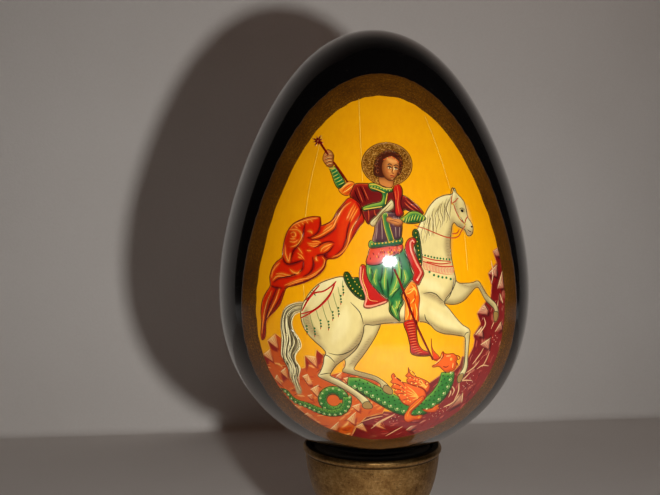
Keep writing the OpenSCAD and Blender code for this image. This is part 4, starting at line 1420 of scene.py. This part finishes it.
brightFolds = [
    (0.8, [(-14.4, 5.5), (-16.4, 5.2), (-18, 4.8), (-19.6, 4.1), (-20.4, 3.3)]), (0.3, [(-16, 5.2),
      (-15.5, 4.6)]), (0.3, [(-17, 5), (-16.5, 4.3)]), (0.3, [(-18, 4.7), (-17.5, 4)]),
    (0.3, [(-18.9, 4.3), (-18.2, 3.6)]), (0.3, [(-19.6, 3.8), (-18.8, 3.3)]), (0.6, [(-20.7, 2.9),
      (-19.4, 3), (-18.4, 2.6), (-17.9, 1.6), (-18.2, 0.6), (-19, -0.4), (-20.4, -0.9)]),
    (0.5, [(-20.4, 2), (-19.9, 2.4), (-19.4, 2.2), (-19.3, 1.6), (-19.8, 1.3), (-20.2, 1.6)]),
    (0.3, [(-20.6, 0.3), (-19.5, 0.2), (-18.7, 0.7)]), (0.3, [(-20.5, 0.9), (-19.3, 0.9)]),
    (0.5, [(-21.6, -0.6), (-21.6, -2.2), (-21.2, -3.4), (-20.9, -4), (-20.6, -3.2), (-20.4, -2.2)]),
    (0.3, [(-18.7, -1), (-18.1, -1.8), (-17.7, -2.4)]), (0.3, [(-18.8, -2.2), (-18, -2.8),
      (-17.3, -3.6)]), (0.3, [(-18.7, -3), (-17.9, -3.4)]), (0.7, [(-7.2, 8.9), (-8.7, 7.8), (-9.7, 6.4),
      (-10.3, 5.2), (-11.1, 3.6), (-12.4, 2.6), (-14, 1.6), (-15.6, 1)]), (0.9, [(-11.2, 4), (-12.2, 3.3),
      (-13.2, 2.5)]), (0.3, [(-9, 7.6), (-10.2, 6), (-11.2, 4.7), (-12.6, 3.8)]), (0.5, [(-5.1, 6.1),
      (-5.9, 5), (-6.9, 3.5), (-7.5, 1.9), (-7.9, 0.1), (-8.5, -1.2), (-9.7, -2.4), (-11.2, -3)]),
    (0.3, [(-6.4, 8.5), (-7.4, 6.8), (-8.2, 5)]), (0.3, [(-6.1, 8), (-7, 6.3), (-7.7, 4.8)]),
    (0.4, [(-5.7, 7.5), (-6.6, 6), (-7.3, 4.6)]), (0.3, [(-16.7, 0), (-15.4, -0.2), (-14, 0)]),
    (0.3, [(-16.4, -0.4), (-15.2, -0.7), (-14.2, -0.4)]), (0.3, [(-15.7, 0.3), (-14.7, 0.4),
      (-13.7, 0.1)]), (0.3, [(-16.8, -1.6), (-15.8, -1.7)]), (0.6, [(-16.6, 2.6), (-15.9, 2.5),
      (-15.6, 2)]), (0.9, [(-13.7, -1.9), (-13.5, -1.2), (-12.6, -0.6), (-11.3, -0.2)]),
    (0.3, [(-13.2, -1.9), (-11.6, -0.7)]), (0.5, [(-14.7, -2.8), (-14.8, -3.6), (-14.3, -3.8)]),
    (0.4, [(-13.4, -3), (-12.9, -3.8), (-13.2, -5), (-14.2, -6), (-15.4, -6.8), (-16.9, -7.5)]),
    (0.6, [(-20.5, -5.8), (-19.8, -6.4), (-18.8, -6.6), (-18.1, -5.9)]), (0.4, [(-24.7, -7.9),
      (-24.5, -6.4), (-23.7, -5.2), (-22.8, -4.4)]), (0.4, [(-23.7, -6.9), (-22.4, -6.8), (-21, -7.1),
      (-19.8, -7.1)]), (0.5, [(-24.5, -8.4), (-23.4, -7.4), (-21.6, -7.5)]), (0.4, [(-21.7, -9.4),
      (-20, -8.6), (-18, -7.9), (-16.4, -7.6), (-14.4, -6.6)]), (0.3, [(-21, -9.4), (-19.4, -8.7),
      (-17.4, -8.2)]), (0.4, [(-24.7, -10.8), (-25.9, -13.6), (-26.7, -17), (-27, -20.6)]),
    (0.4, [(-22.8, -10), (-23.7, -12.5), (-25.1, -15.4), (-26.3, -18)])]


def paintCloak(picture):
    c = pigments
    picture.fill(cloakShape, c["cloak"], [(c["cloakDark"], 0.2, -0.5, 0.6)], edge=((120, 8, 10), 0.3))
    picture.wash([(-19.8, 3.6), (-20.6, 1), (-21, -2)], (176, 40, 10), 2.2, 0.6, 1.4)
    picture.wash([(-23, -10), (-24.6, -13), (-26, -17.4)], (160, 14, 8), 2.4, 0.6, 1.2)
    picture.wash([(-7, 8.4), (-8.6, 4), (-9.6, 0)], (232, 66, 14), 2.0, 0.6, 1.6)
    picture.wash([(-12.4, 1), (-15, -1.6), (-16.6, -5)], (226, 44, 10), 1.6, 0.5, 1.2)
    for width, fold in darkFolds:
        picture.wash(fold, c["cloakDark"], width, 0.85, 0.4)
        picture.line(fold, (92, 4, 8), 0.14 + width * 0.12)
    for width, fold in brightFolds:
        picture.wash(fold, c["cloakLight"], width + 0.2, 0.8, 0.4)
        picture.line(fold, c["cloakBright"], 0.12 + width * 0.3, 0.15)


saddleRear = [
    (-8.7, -6.4), (-8.2, -6.1), (-7.6, -6.5), (-7, -7.4), (-5.6, -7.3), (-4.6, -8), (-4.2, -12),
    (-5.4, -11.9), (-7, -10.6), (-8.2, -8.9), (-8.8, -7.4)]
saddleFront = [
    (6, 2.4), (6.6, 3.1), (7.2, 2.7), (7.6, 1), (7.9, -1.5), (8, -3.9), (7.6, -5.2), (7, -4), (6.6, -1.5),
    (6.1, 0.8)]
clothLeft = [
    (-5, -4.6), (-5.5, -6.2), (-5.4, -8), (-4.6, -10), (-4.2, -11.6), (-4.6, -13.6), (-3.6, -13.9),
    (-2, -13.5), (0, -12.8), (0.6, -12.3), (-1, -11), (-2.6, -9), (-3.8, -7), (-4.2, -4.8)]
clothRight = [
    (5.3, 1), (6.2, 1.2), (6.8, 0.6), (6.6, -0.2), (6.2, -0.5), (6.4, -1.9), (7.2, -3.9), (8.2, -5.9),
    (8.4, -6.6), (7.8, -7.9), (7.2, -9), (6.4, -8.7), (5.8, -7.5), (6.2, -6.5), (5.6, -4.9), (4.8, -2.9),
    (4.3, -1.2), (4.6, 0.2)]


def paintSaddle(picture):
    c = pigments
    for shape in (saddleRear, saddleFront):
        picture.fill(shape, c["saddle"], [((8, 34, 10), 0.2, -0.6, 0.6)], edge=((6, 22, 8), 0.24))
    for x, z in resample(curve([(-8.2, -7), (-7.2, -9.4), (-5.2, -11.2)]), 8):
        picture.dots([(x, z), (x + 0.9, z + 0.9)], c["gold"], 0.26)
    picture.dots(resample([(6.7, 2.2), (7.1, -0.6), (7.6, -4.4)], 8), c["gold"], 0.24)
    for shape in (clothLeft, clothRight):
        picture.fill(shape, c["cloth"], [(c["deepRed"], 0.2, -0.5, 0.6)], edge=((90, 10, 10), 0.22))
    picture.lines([[(-5.2, -5), (-5.3, -7.6), (-4.5, -10), (-4, -11.7), (-4.3, -13.3), (-2.6, -13.3),
                    (0.2, -12.4)], [(6.3, 0.1), (6, 0.6), (5.5, 0.2), (5.5, -1), (6, -2.7), (6.8, -4.5),
                    (7.6, -5.9), (7.7, -6.4), (7.2, -7.3), (6.8, -8)]], c["clothBorder"], 0.42, 0.8)
    picture.lines([[(-4.6, -5.4), (-4.8, -7.8), (-4, -10), (-3.4, -12), (-1.6, -12.4)]], (250, 196, 120),
                  0.18)


skirt = [
    (-4, -4.5), (-3.6, -7.7), (-1.7, -10.1), (0.5, -11.9), (0.8, -12.7), (0.9, -14.7), (2.3, -16.1),
    (3.2, -16.7), (3, -15.3), (3.2, -14.1), (3.9, -12.7), (3.4, -11.3), (3.8, -10.4), (4.8, -9),
    (6, -7.2), (5.6, -5.7), (4.8, -3.5), (4, -1.1), (2, -0.6), (-1.4, -2.2), (-3, -3)]
skirtDark = [
    [(-3.1, -5.2), (-2.7, -6.8), (-2.9, -8)], [(-1.5, -7.6), (-0.9, -9.4), (-0.4, -10.8)], [(0.4, -7.6),
     (0.6, -9.8), (0.6, -11.8)], [(4.4, -7), (3.6, -9), (2.3, -10.3), (1.2, -11.8)], [(4.2, -2.2),
     (5.1, -4.2), (5.8, -6.6)], [(-0.6, -5), (-0.7, -6.8), (-1.1, -8.2)], [(3, -3), (3.5, -5.6),
     (3.4, -8)], [(3.2, -10.5), (3.6, -11.9), (2.9, -13.4), (2.4, -15.2)], [(1.5, -12.6), (1.1, -14.1),
     (1.9, -15.6)], [(1.6, -4.4), (1.6, -6.6), (1.1, -9)]]
skirtLight = [
    [(-1.9, -5.6), (-2.4, -7.6), (-2, -8.9)], [(2.1, -6.2), (2.5, -7.9), (1.2, -11)], [(4, -5.8),
     (4.3, -7.6), (3.8, -8.7)], [(0.1, -5.4), (-0.2, -7.9), (-0.1, -9.8)], [(0.9, -11.1), (1.7, -10.3),
     (2.5, -9.6)], [(2.3, -12.3), (2.5, -13.3), (1.8, -14.2)], [(1.3, -13.2), (2, -14.6), (2.4, -15.6)],
    [(3, -12.2), (2.9, -13.2), (2.4, -14)], [(-3.4, -5.2), (-3.3, -6.6)], [(2.8, -4), (3, -6),
     (2.9, -7.6)]]
hemBand = [(-4, -4.4), (-3.6, -2.4), (-3, -0.8), (0.4, -0.4), (3.7, -0.2), (3.7, -1.6), (1.6, -2.8),
           (-1.5, -4.6)]
beltBand = [(-3.2, 0.5), (-3.3, -1), (0.4, -0.7), (3.7, -0.2), (3.6, 1.3), (0.2, 0.7)]
torso = [
    (-2.6, 0.4), (-2.2, 2.6), (-2, 4.2), (-1, 5.6), (0, 6.4), (1.4, 6.8), (3.2, 6.6), (3.8, 4.2), (3.5, 1.2),
    (3, 0.8), (1, 0.4), (-1, 0.2)]
cape = [
    (-6.2, 12.9), (-4, 13), (-2, 12.9), (0, 12.2), (1.8, 11.8), (2.4, 11), (4.6, 10.2), (6.4, 8.9),
    (7.8, 7.6), (8.6, 6.4), (6.4, 6.6), (4.4, 7.2), (3.6, 6.4), (1.2, 6.6), (-0.6, 6.4), (-2.2, 5.4),
    (-3.4, 4), (-4.1, 4.9), (-4.7, 6.6), (-5.2, 8.4), (-6.4, 9.5), (-7.4, 10.2), (-6.8, 11.8)]
collar = [
    (-3.3, 12.9), (-2, 13.1), (-1, 12.6), (0.3, 12.1), (1.7, 12), (1.9, 11.2), (0.9, 10.9), (0.6, 9.4),
    (0.4, 8.3), (-0.3, 7.6), (-2.4, 7.3), (-4.5, 7), (-4.7, 7.7), (-3, 8.4), (-0.9, 8.9), (-0.5, 9.4),
    (-0.4, 10.6), (-1.2, 11.2), (-2.4, 11.3), (-3.2, 12)]
sash = [
    (-3.2, 4.3), (-1.6, 6), (-0.6, 7.2), (0.3, 8), (1.6, 9.4), (2, 8.8), (2, 7.6), (0.8, 6.8), (0, 6.6),
    (-1.2, 5.4), (-2, 3.8), (-2.6, 3.6)]
scarf = [
    (2, 11.6), (2.6, 13), (3.4, 12.8), (4, 11.8), (4, 10.4), (3.6, 9), (3.8, 7.4), (4.2, 6.2), (3.2, 5.6),
    (2.4, 6), (2.3, 8), (2.2, 10)]
reinHand = [(0.6, 5.6), (2, 5.4), (3.6, 5), (4, 4.2), (3, 3.6), (1.6, 4), (0.4, 4.8)]
greenSleeve = [(3.2, 5), (4.4, 5.9), (5.6, 6.8), (6.8, 6.9), (8, 6.4), (9.1, 5.3), (8, 4.6), (6.4, 4.2),
               (4.6, 4.3)]
orangeSleeve = [(4.6, 7.4), (6, 8.4), (7.4, 7.8), (8.6, 6.4), (7, 6.9), (5.6, 6.8)]
raisedHand = [
    (-12.9, 20), (-13.2, 18.6), (-12.6, 17.5), (-11.8, 16.8), (-10.9, 17.1), (-10.9, 18.5), (-10.8, 19.6),
    (-11.5, 20.6), (-12.2, 20.9)]
raisedCuff = [
    (-11.9, 16.9), (-10.6, 16.9), (-9.4, 15.2), (-8.4, 13.4), (-8.5, 12.8), (-9.8, 11.9), (-10.6, 13),
    (-11.2, 14.8), (-11.6, 16)]
raisedElbow = [
    (-9.8, 11.9), (-8.4, 12.9), (-7.9, 13.5), (-6.6, 13.3), (-6, 12.2), (-7, 11), (-7.6, 10.4), (-8.6, 10.4),
    (-9.6, 11.2)]
leg = [
    (5.2, -8.3), (6.4, -8.5), (7, -9.9), (7.4, -11.7), (7.2, -14.1), (7, -17), (4.4, -17), (4.2, -14.9),
    (4.2, -12.5), (3.6, -11.5), (4, -10.3), (4.7, -9.1)]
legLight = [
    [(4.4, -10.9), (5.4, -10.5), (6.5, -9.3)], [(5, -10.1), (6, -9.7), (6.8, -10.5)], [(5.6, -8.9),
     (6.6, -10.1), (6.8, -11.3)], [(5.4, -12.9), (6.4, -11.7)], [(4.5, -16.2), (4.9, -15.2),
     (4.7, -13.6)], [(6.4, -12.9), (6.8, -14.9), (6.6, -16.5)], [(5.4, -16.4), (5.7, -14.6),
     (5.6, -13.6)]]
legDark = [
    [(4, -11.2), (4.8, -11.6), (5.2, -12.4), (5.1, -15.8)], [(6.2, -10.8), (6.4, -11.8), (6, -13)],
    [(6, -14), (6.1, -15.4), (5.9, -16.6)]]
boot = [
    (4, -16.9), (6.7, -16.6), (6.8, -19), (7.2, -21.5), (8.2, -23), (9.6, -23.6), (10, -24.3), (8.6, -24.5),
    (6.4, -24.2), (5.6, -23.6), (5.4, -22), (4.8, -19.6)]


def paintRider(picture):
    c = pigments
    greenSides = [(c["greenDark"], 0.25, -0.5, 0.6), (c["greenLight"], -0.2, 0.4, 0.5)]
    redSides = [((70, 6, 10), 0.25, -0.5, 0.6)]
    orangeSides = [((196, 60, 8), 0.4, -0.3, 0.7), (c["orangeLight"], -0.35, 0.3, 0.6)]
    dark = (c["black"], 0.22)
    picture.fill(leg, c["orange"], orangeSides, edge=((120, 30, 8), 0.22))
    picture.lines(legDark, c["red"], 0.2)
    picture.lines(legLight, (252, 196, 90), 0.26)
    picture.fill(boot, c["red"], redSides, edge=dark)
    for k, (x, z) in enumerate(resample(curve([(5.4, -17.2), (5.9, -20), (6.4, -22.4), (7.6, -23.8)]), 13)):
        across = 0.85 - 0.02 * k
        picture.line([(x - across, z + 0.05), (x, z + 0.18), (x + across, z + 0.25)], (224, 128, 84), 0.16)
        picture.line([(x - across, z - 0.28), (x, z - 0.15), (x + across, z - 0.1)], c["maroon"], 0.14)
    picture.fill(skirt, c["green"], greenSides, edge=dark)
    for fold in skirtLight:
        picture.wash(fold, (110, 176, 84), 1.1, 0.8, 0.7)
        picture.line(fold, c["lime"], 0.2)
        picture.line(np.array(fold) + (0.3, 0.1), (120, 186, 96), 0.16)
    for fold in skirtDark:
        picture.wash(fold, c["greenDark"], 0.7, 0.6, 0.5)
        picture.line(fold, c["greenDark"], 0.22)
    picture.fill(hemBand, (214, 60, 12), [((140, 20, 8), 0.1, -0.5, 0.5)], edge=dark)
    rng = np.random.default_rng(21)
    for k in range(46):
        share, up = rng.uniform(0, 1), rng.uniform(-0.75, 0.75)
        x, z = -3.2 + 6.6 * share, -2.6 + 1.3 * share + up
        picture.line([(x, z + 0.25), (x + rng.uniform(-0.2, 0.3), z - 0.25)],
                     (c["orangeLight"], c["maroon"], (226, 130, 120))[k % 3], 0.2)
    picture.fill(beltBand, c["green"], greenSides, edge=dark)
    picture.dots(resample([(-2.8, -0.2), (0.4, 0.1), (3.2, 0.5)], 9), c["gold"], 0.34)
    picture.fill(torso, c["purple"], [((40, 16, 28), 0.3, -0.4, 0.7), ((150, 110, 110), -0.4, 0.2, 0.5)],
                 edge=dark)
    picture.fill(ribbon([(0, 6.6), (0.4, 4), (0.9, 2), (1.4, 0.4)], (1.1, 1.2, 1.2)), c["green"], greenSides,
                 edge=(c["gold"], 0.16))
    picture.lines([[(-1.6, 4.4), (-1.7, 2.6), (-1.9, 0.8)], [(-0.7, 5), (-0.6, 3), (-0.6, 0.8)], [(2, 5.8),
                    (2.3, 3.4), (2.4, 1.2)], [(3, 5.6), (3.2, 3.4), (3.1, 1.4)]], (170, 140, 140), 0.2)
    picture.fill(orangeSleeve, c["orange"], orangeSides, edge=dark)
    picture.fill(raisedElbow, c["orange"], orangeSides, edge=((110, 20, 8), 0.22))
    picture.lines([[(-9.4, 11.8), (-8.2, 12.8), (-7.2, 13.1)], [(-8.8, 11), (-7.6, 11.8), (-6.6, 12.6)]],
                  (254, 206, 110), 0.22)
    picture.lines([[(-9, 11.3), (-8, 12.3), (-6.9, 12.9)], [(-8.3, 10.7), (-7.2, 11.4), (-6.3, 12.2)]],
                  c["red"], 0.18)
    picture.fill(raisedCuff, c["green"], greenSides, edge=dark)
    for x, z in resample([(-11, 16.2), (-10.3, 14.2), (-9.2, 12.9)], 6):
        picture.line([(x - 0.7, z - 0.2), (x, z + 0.1), (x + 0.7, z + 0.5)], c["lime"], 0.2)
    picture.line([(-11.8, 16.5), (-10.7, 16.6)], c["gold"], 0.3, 0.8)
    picture.fill(cape, c["maroon"], [((60, 4, 8), 0.3, -0.6, 0.7), ((176, 40, 26), -0.2, 0.5, 0.6)],
                 edge=dark)
    picture.lines([[(-5.8, 12.2), (-5.2, 10.4), (-4.6, 8.8)], [(-4.6, 12.4), (-4, 10.8), (-3.4, 9.4)],
                   [(-3.6, 8), (-3.4, 6.4), (-3.4, 4.8)], [(-2.2, 7.2), (-2, 6.2), (-1.4, 5.8)],
                   [(4.6, 9.6), (5.6, 8.6), (7.4, 7.2)], [(4.4, 8.8), (5.4, 7.8), (6.6, 7)]], (206, 84, 50),
                  0.24)
    picture.lines([[(-6.4, 11.6), (-5.8, 10), (-5, 8.6)], [(-5.2, 12.4), (-4.4, 10.6), (-4, 9)],
                   [(5, 9.8), (6.4, 8.4), (7.8, 7)]], (50, 4, 6), 0.24)
    picture.fill(collar, c["green"], greenSides, edge=dark)
    picture.lines([[(-3, 12.7), (-1.6, 12.7), (0.2, 11.9), (1.7, 11.8)], [(0.7, 10.8), (0.4, 9.4),
                    (0.2, 8.4)], [(-0.5, 7.9), (-2.4, 7.6), (-4.4, 7.3)], [(-3, 12.1), (-1.4, 11.6),
                    (0.2, 10.9)]], (238, 200, 80), 0.22, 0.8)
    picture.dots(resample([(-2.6, 12.3), (-0.6, 11.9), (1.2, 11.4)], 7), c["lime"], 0.28)
    picture.fill(sash, (232, 220, 176), [((170, 150, 110), 0.2, -0.5, 0.5)], edge=((90, 70, 40), 0.2))
    picture.lines([[(-2.6, 4.4), (-0.8, 6.2), (0.4, 7.4), (1.6, 8.6)], [(-2, 4.2), (-0.4, 5.9)]],
                  (130, 110, 76), 0.18)
    picture.fill(scarf, c["red"], redSides, edge=dark)
    picture.lines([[(2.9, 12.4), (3.1, 10.4), (2.9, 8.4), (3.2, 6.2)], [(2.4, 11.4), (2.6, 9.4)]],
                  (240, 110, 60), 0.22)
    picture.fill(greenSleeve, c["green"], greenSides, edge=dark)
    for x, z in resample([(4.6, 5), (6.4, 5.5), (8.4, 5.3)], 7):
        picture.line([(x - 0.1, z - 0.6), (x + 0.1, z), (x + 0.4, z + 0.7)], c["lime"], 0.2)
    picture.line([(4.2, 5.4), (3.9, 4.6)], c["gold"], 0.3, 0.9)
    picture.fill(reinHand, c["flesh"], [(c["fleshDark"], 0.1, -0.4, 0.4)], edge=(c["fleshDark"], 0.2))
    picture.lines([[(1, 4.9), (2.2, 4.7), (3.2, 4.3)], [(1.4, 5.3), (2.6, 5.1)]], c["fleshDark"], 0.16)


def paintSpear(picture):
    c = pigments
    picture.fill(raisedHand, c["flesh"], [(c["fleshDark"], 0.3, -0.3, 0.5)], edge=(c["fleshDark"], 0.2))
    shaft = [[(-14.4, 23.6), (-12, 19.6)], [(-10.9, 18), (-7.8, 13.3)],
             [(1.9, -5.5), (3.4, -9), (6.5, -17), (10.6, -25.4)]]
    for part in shaft:
        picture.line(part, c["spear"], 0.48, 0.8)
        picture.line(np.array(part) + (-0.08, 0.1), (206, 84, 50), 0.14, 0.6)
    for k in range(4):
        z = 19.9 - 0.75 * k
        picture.line([(-12.9 + 0.12 * k, z - 0.7), (-12, z - 0.3), (-11, z - 0.35)], c["fleshDark"], 0.18)
        picture.line([(-12.7 + 0.12 * k, z - 0.4), (-11.9, z - 0.05), (-11.2, z - 0.1)], (244, 196, 130),
                     0.2)
    rosette = (-14.3, 23.1)
    for k in range(8):
        turn = 2 * math.pi * k / 8 + 0.3
        reach = 1.25 if k % 2 else 0.95
        tip = (rosette[0] + reach * math.cos(turn), rosette[1] + reach * math.sin(turn))
        picture.line([rosette, tip], c["spear"], 0.4, 0.5)
        picture.dots([tip], (226, 150, 70), 0.3)
    picture.dots([rosette, (-13.6, 22), (-13.1, 21.2)], (226, 150, 70), 0.42)


halo = {"x": 0.85, "z": 17.35, "wide": 5.55, "high": 4.9}
head = {"x": 1.5, "z": 16.35, "wide": 2.05, "high": 2.75, "tilt": -9, "turned": 0.32}


def paintHead(picture):
    # a calm, plain face on schoolbook proportions: eyes halfway down, nose and mouth by thirds below
    c = pigments
    angles = np.linspace(0, 2 * math.pi, 40, endpoint=False)
    rim = np.stack([halo["x"] + halo["wide"] * np.cos(angles), halo["z"] + halo["high"] * np.sin(angles)], 1)
    picture.fill(rim, c["halo"], gild=1.0)
    closed = np.concatenate([rim, rim[:1]])
    picture.line((closed - (halo["x"], halo["z"])) * 0.97 + (halo["x"], halo["z"]), (206, 150, 70), 0.12,
                 1.0)
    picture.line(closed, (96, 54, 14), 0.17, 1.0)
    tilt = math.radians(head["tilt"])

    def at(*places):
        # from the face's own halves, (0, 0) at its middle and (0, -1) at the chin
        u, v = np.array(places, float).T
        u, v = u * head["wide"], v * head["high"]
        return np.stack([head["x"] + u * math.cos(tilt) - v * math.sin(tilt),
                         head["z"] + u * math.sin(tilt) + v * math.cos(tilt)], 1)

    ahead = head["turned"]
    picture.fill([(-0.9, 14.6), (-0.9, 12.9), (0.4, 12.2), (1.8, 12.1), (2.1, 13.8)], c["flesh"],
                 [(c["fleshDark"], 0.2, 0.6, 0.9)], edge=(c["fleshDark"], 0.2))
    picture.fill(at((-1.55, -0.75), (-1.75, -0.1), (-1.6, 0.7), (-1.0, 1.25), (0, 1.45), (0.9, 1.2),
                  (1.25, 0.6), (1.2, -0.1), (0.9, -0.5), (-0.6, -0.8)), c["hair"], edge=((40, 12, 6), 0.2))
    face = at((0, 1.0), (0.65, 0.85), (0.98, 0.3), (0.94, -0.25), (0.72, -0.68), (0.3, -0.98),
              (-0.05, -0.98), (-0.5, -0.75), (-0.86, -0.3), (-0.95, 0.3), (-0.65, 0.85))
    picture.fill(face, c["flesh"], [(c["fleshDark"], -0.7, -0.3, 0.9), (c["fleshDark"], 0.35, -0.3, 0.5)],
                 edge=((70, 28, 14), 0.2))
    warm, pale = (176, 74, 38), (244, 178, 108)
    picture.wash(at((ahead - 0.62, -0.12), (ahead - 0.45, -0.42)), warm, 0.9, 0.5, 0.7)
    picture.wash(at((-0.5, 0.75), (0.2, 0.62), (0.75, 0.7)), pale, 0.8, 0.7, 0.6)
    picture.wash(at((ahead - 0.32, -0.3), (ahead - 0.4, -0.16)), pale, 0.7, 0.6, 0.6)
    picture.wash(at((ahead, -0.8), (ahead + 0.08, -0.84)), pale, 0.6, 0.6, 0.4)
    for side, reach in ((-1, 0.38), (1, 0.29)):
        eye = ahead + side * reach - 0.02
        picture.wash(at((eye - 0.26, 0.08), (eye, 0.1), (eye + 0.24, 0.08)), (110, 46, 22), 0.85, 0.7, 0.5)
        picture.line(at((eye - 0.2, 0.02), (eye, 0.03), (eye + 0.19, 0.02)), (252, 226, 186), 0.34, 0.4)
        picture.dots(at((eye + 0.01, 0.03)), (26, 12, 8), 0.36)
        picture.line(at((eye - 0.26, 0.04), (eye - 0.02, 0.15), (eye + 0.24, 0.05)), (36, 14, 8), 0.2, 0.4)
        picture.line(at((eye - 0.28, 0.24), (eye - 0.02, 0.37), (eye + 0.26, 0.26)), (52, 22, 10), 0.26, 0.3)
    picture.line(at((ahead - 0.08, 0.24), (ahead - 0.02, 0.0), (ahead - 0.1, -0.28), (ahead + 0.02, -0.37)),
                 (96, 40, 18), 0.18, 0.5)
    picture.line(at((ahead + 0.02, 0.22), (ahead + 0.08, -0.2)), (252, 204, 140), 0.24, 0.5)
    picture.line(at((ahead - 0.04, -0.38), (ahead + 0.16, -0.35)), (90, 34, 16), 0.18, 0.5)
    picture.line(at((ahead - 0.24, -0.6), (ahead, -0.575), (ahead + 0.22, -0.6)), (156, 26, 18), 0.28, 0.35)
    picture.line(at((ahead - 0.14, -0.72), (ahead + 0.14, -0.72)), (120, 54, 26), 0.16, 0.5)
    rng = np.random.default_rng(7)
    for k, turn in enumerate(np.linspace(-35, 215, 20)):
        a = math.radians(turn)
        reach = 1.12 + 0.12 * (k % 2)
        place = at((-0.15 + reach * 1.12 * math.cos(a), 0.28 + reach * 0.98 * math.sin(a)))[0]
        size = 0.42 + rng.uniform(-0.06, 0.08)
        spin = np.linspace(0, 5.2, 9) + rng.uniform(0, 6)
        curl = np.stack([place[0] + size * np.cos(spin) * (1 - spin / 14),
                         place[1] + size * np.sin(spin) * (1 - spin / 14)], 1)
        picture.line(curl, (132, 66, 26) if k % 2 else (96, 40, 16), 0.2, 0.5)
        picture.line(curl[2:6] + (0.06, 0.08), (196, 124, 56), 0.12, 0.3)
    picture.line(at((-0.85, 0.62), (0, 0.98), (0.85, 0.6)), (214, 90, 40), 0.26, 0.7)
    picture.dots(at((-0.45, 0.82), (0, 0.98), (0.45, 0.82)), c["gold"], 0.26)


camera = makeCamera()
makeStage()
makeLights(camera)
makeEgg()
makeBorder()
makeStand()
makeSeatRing()
makeFeltPad()
makePainting()
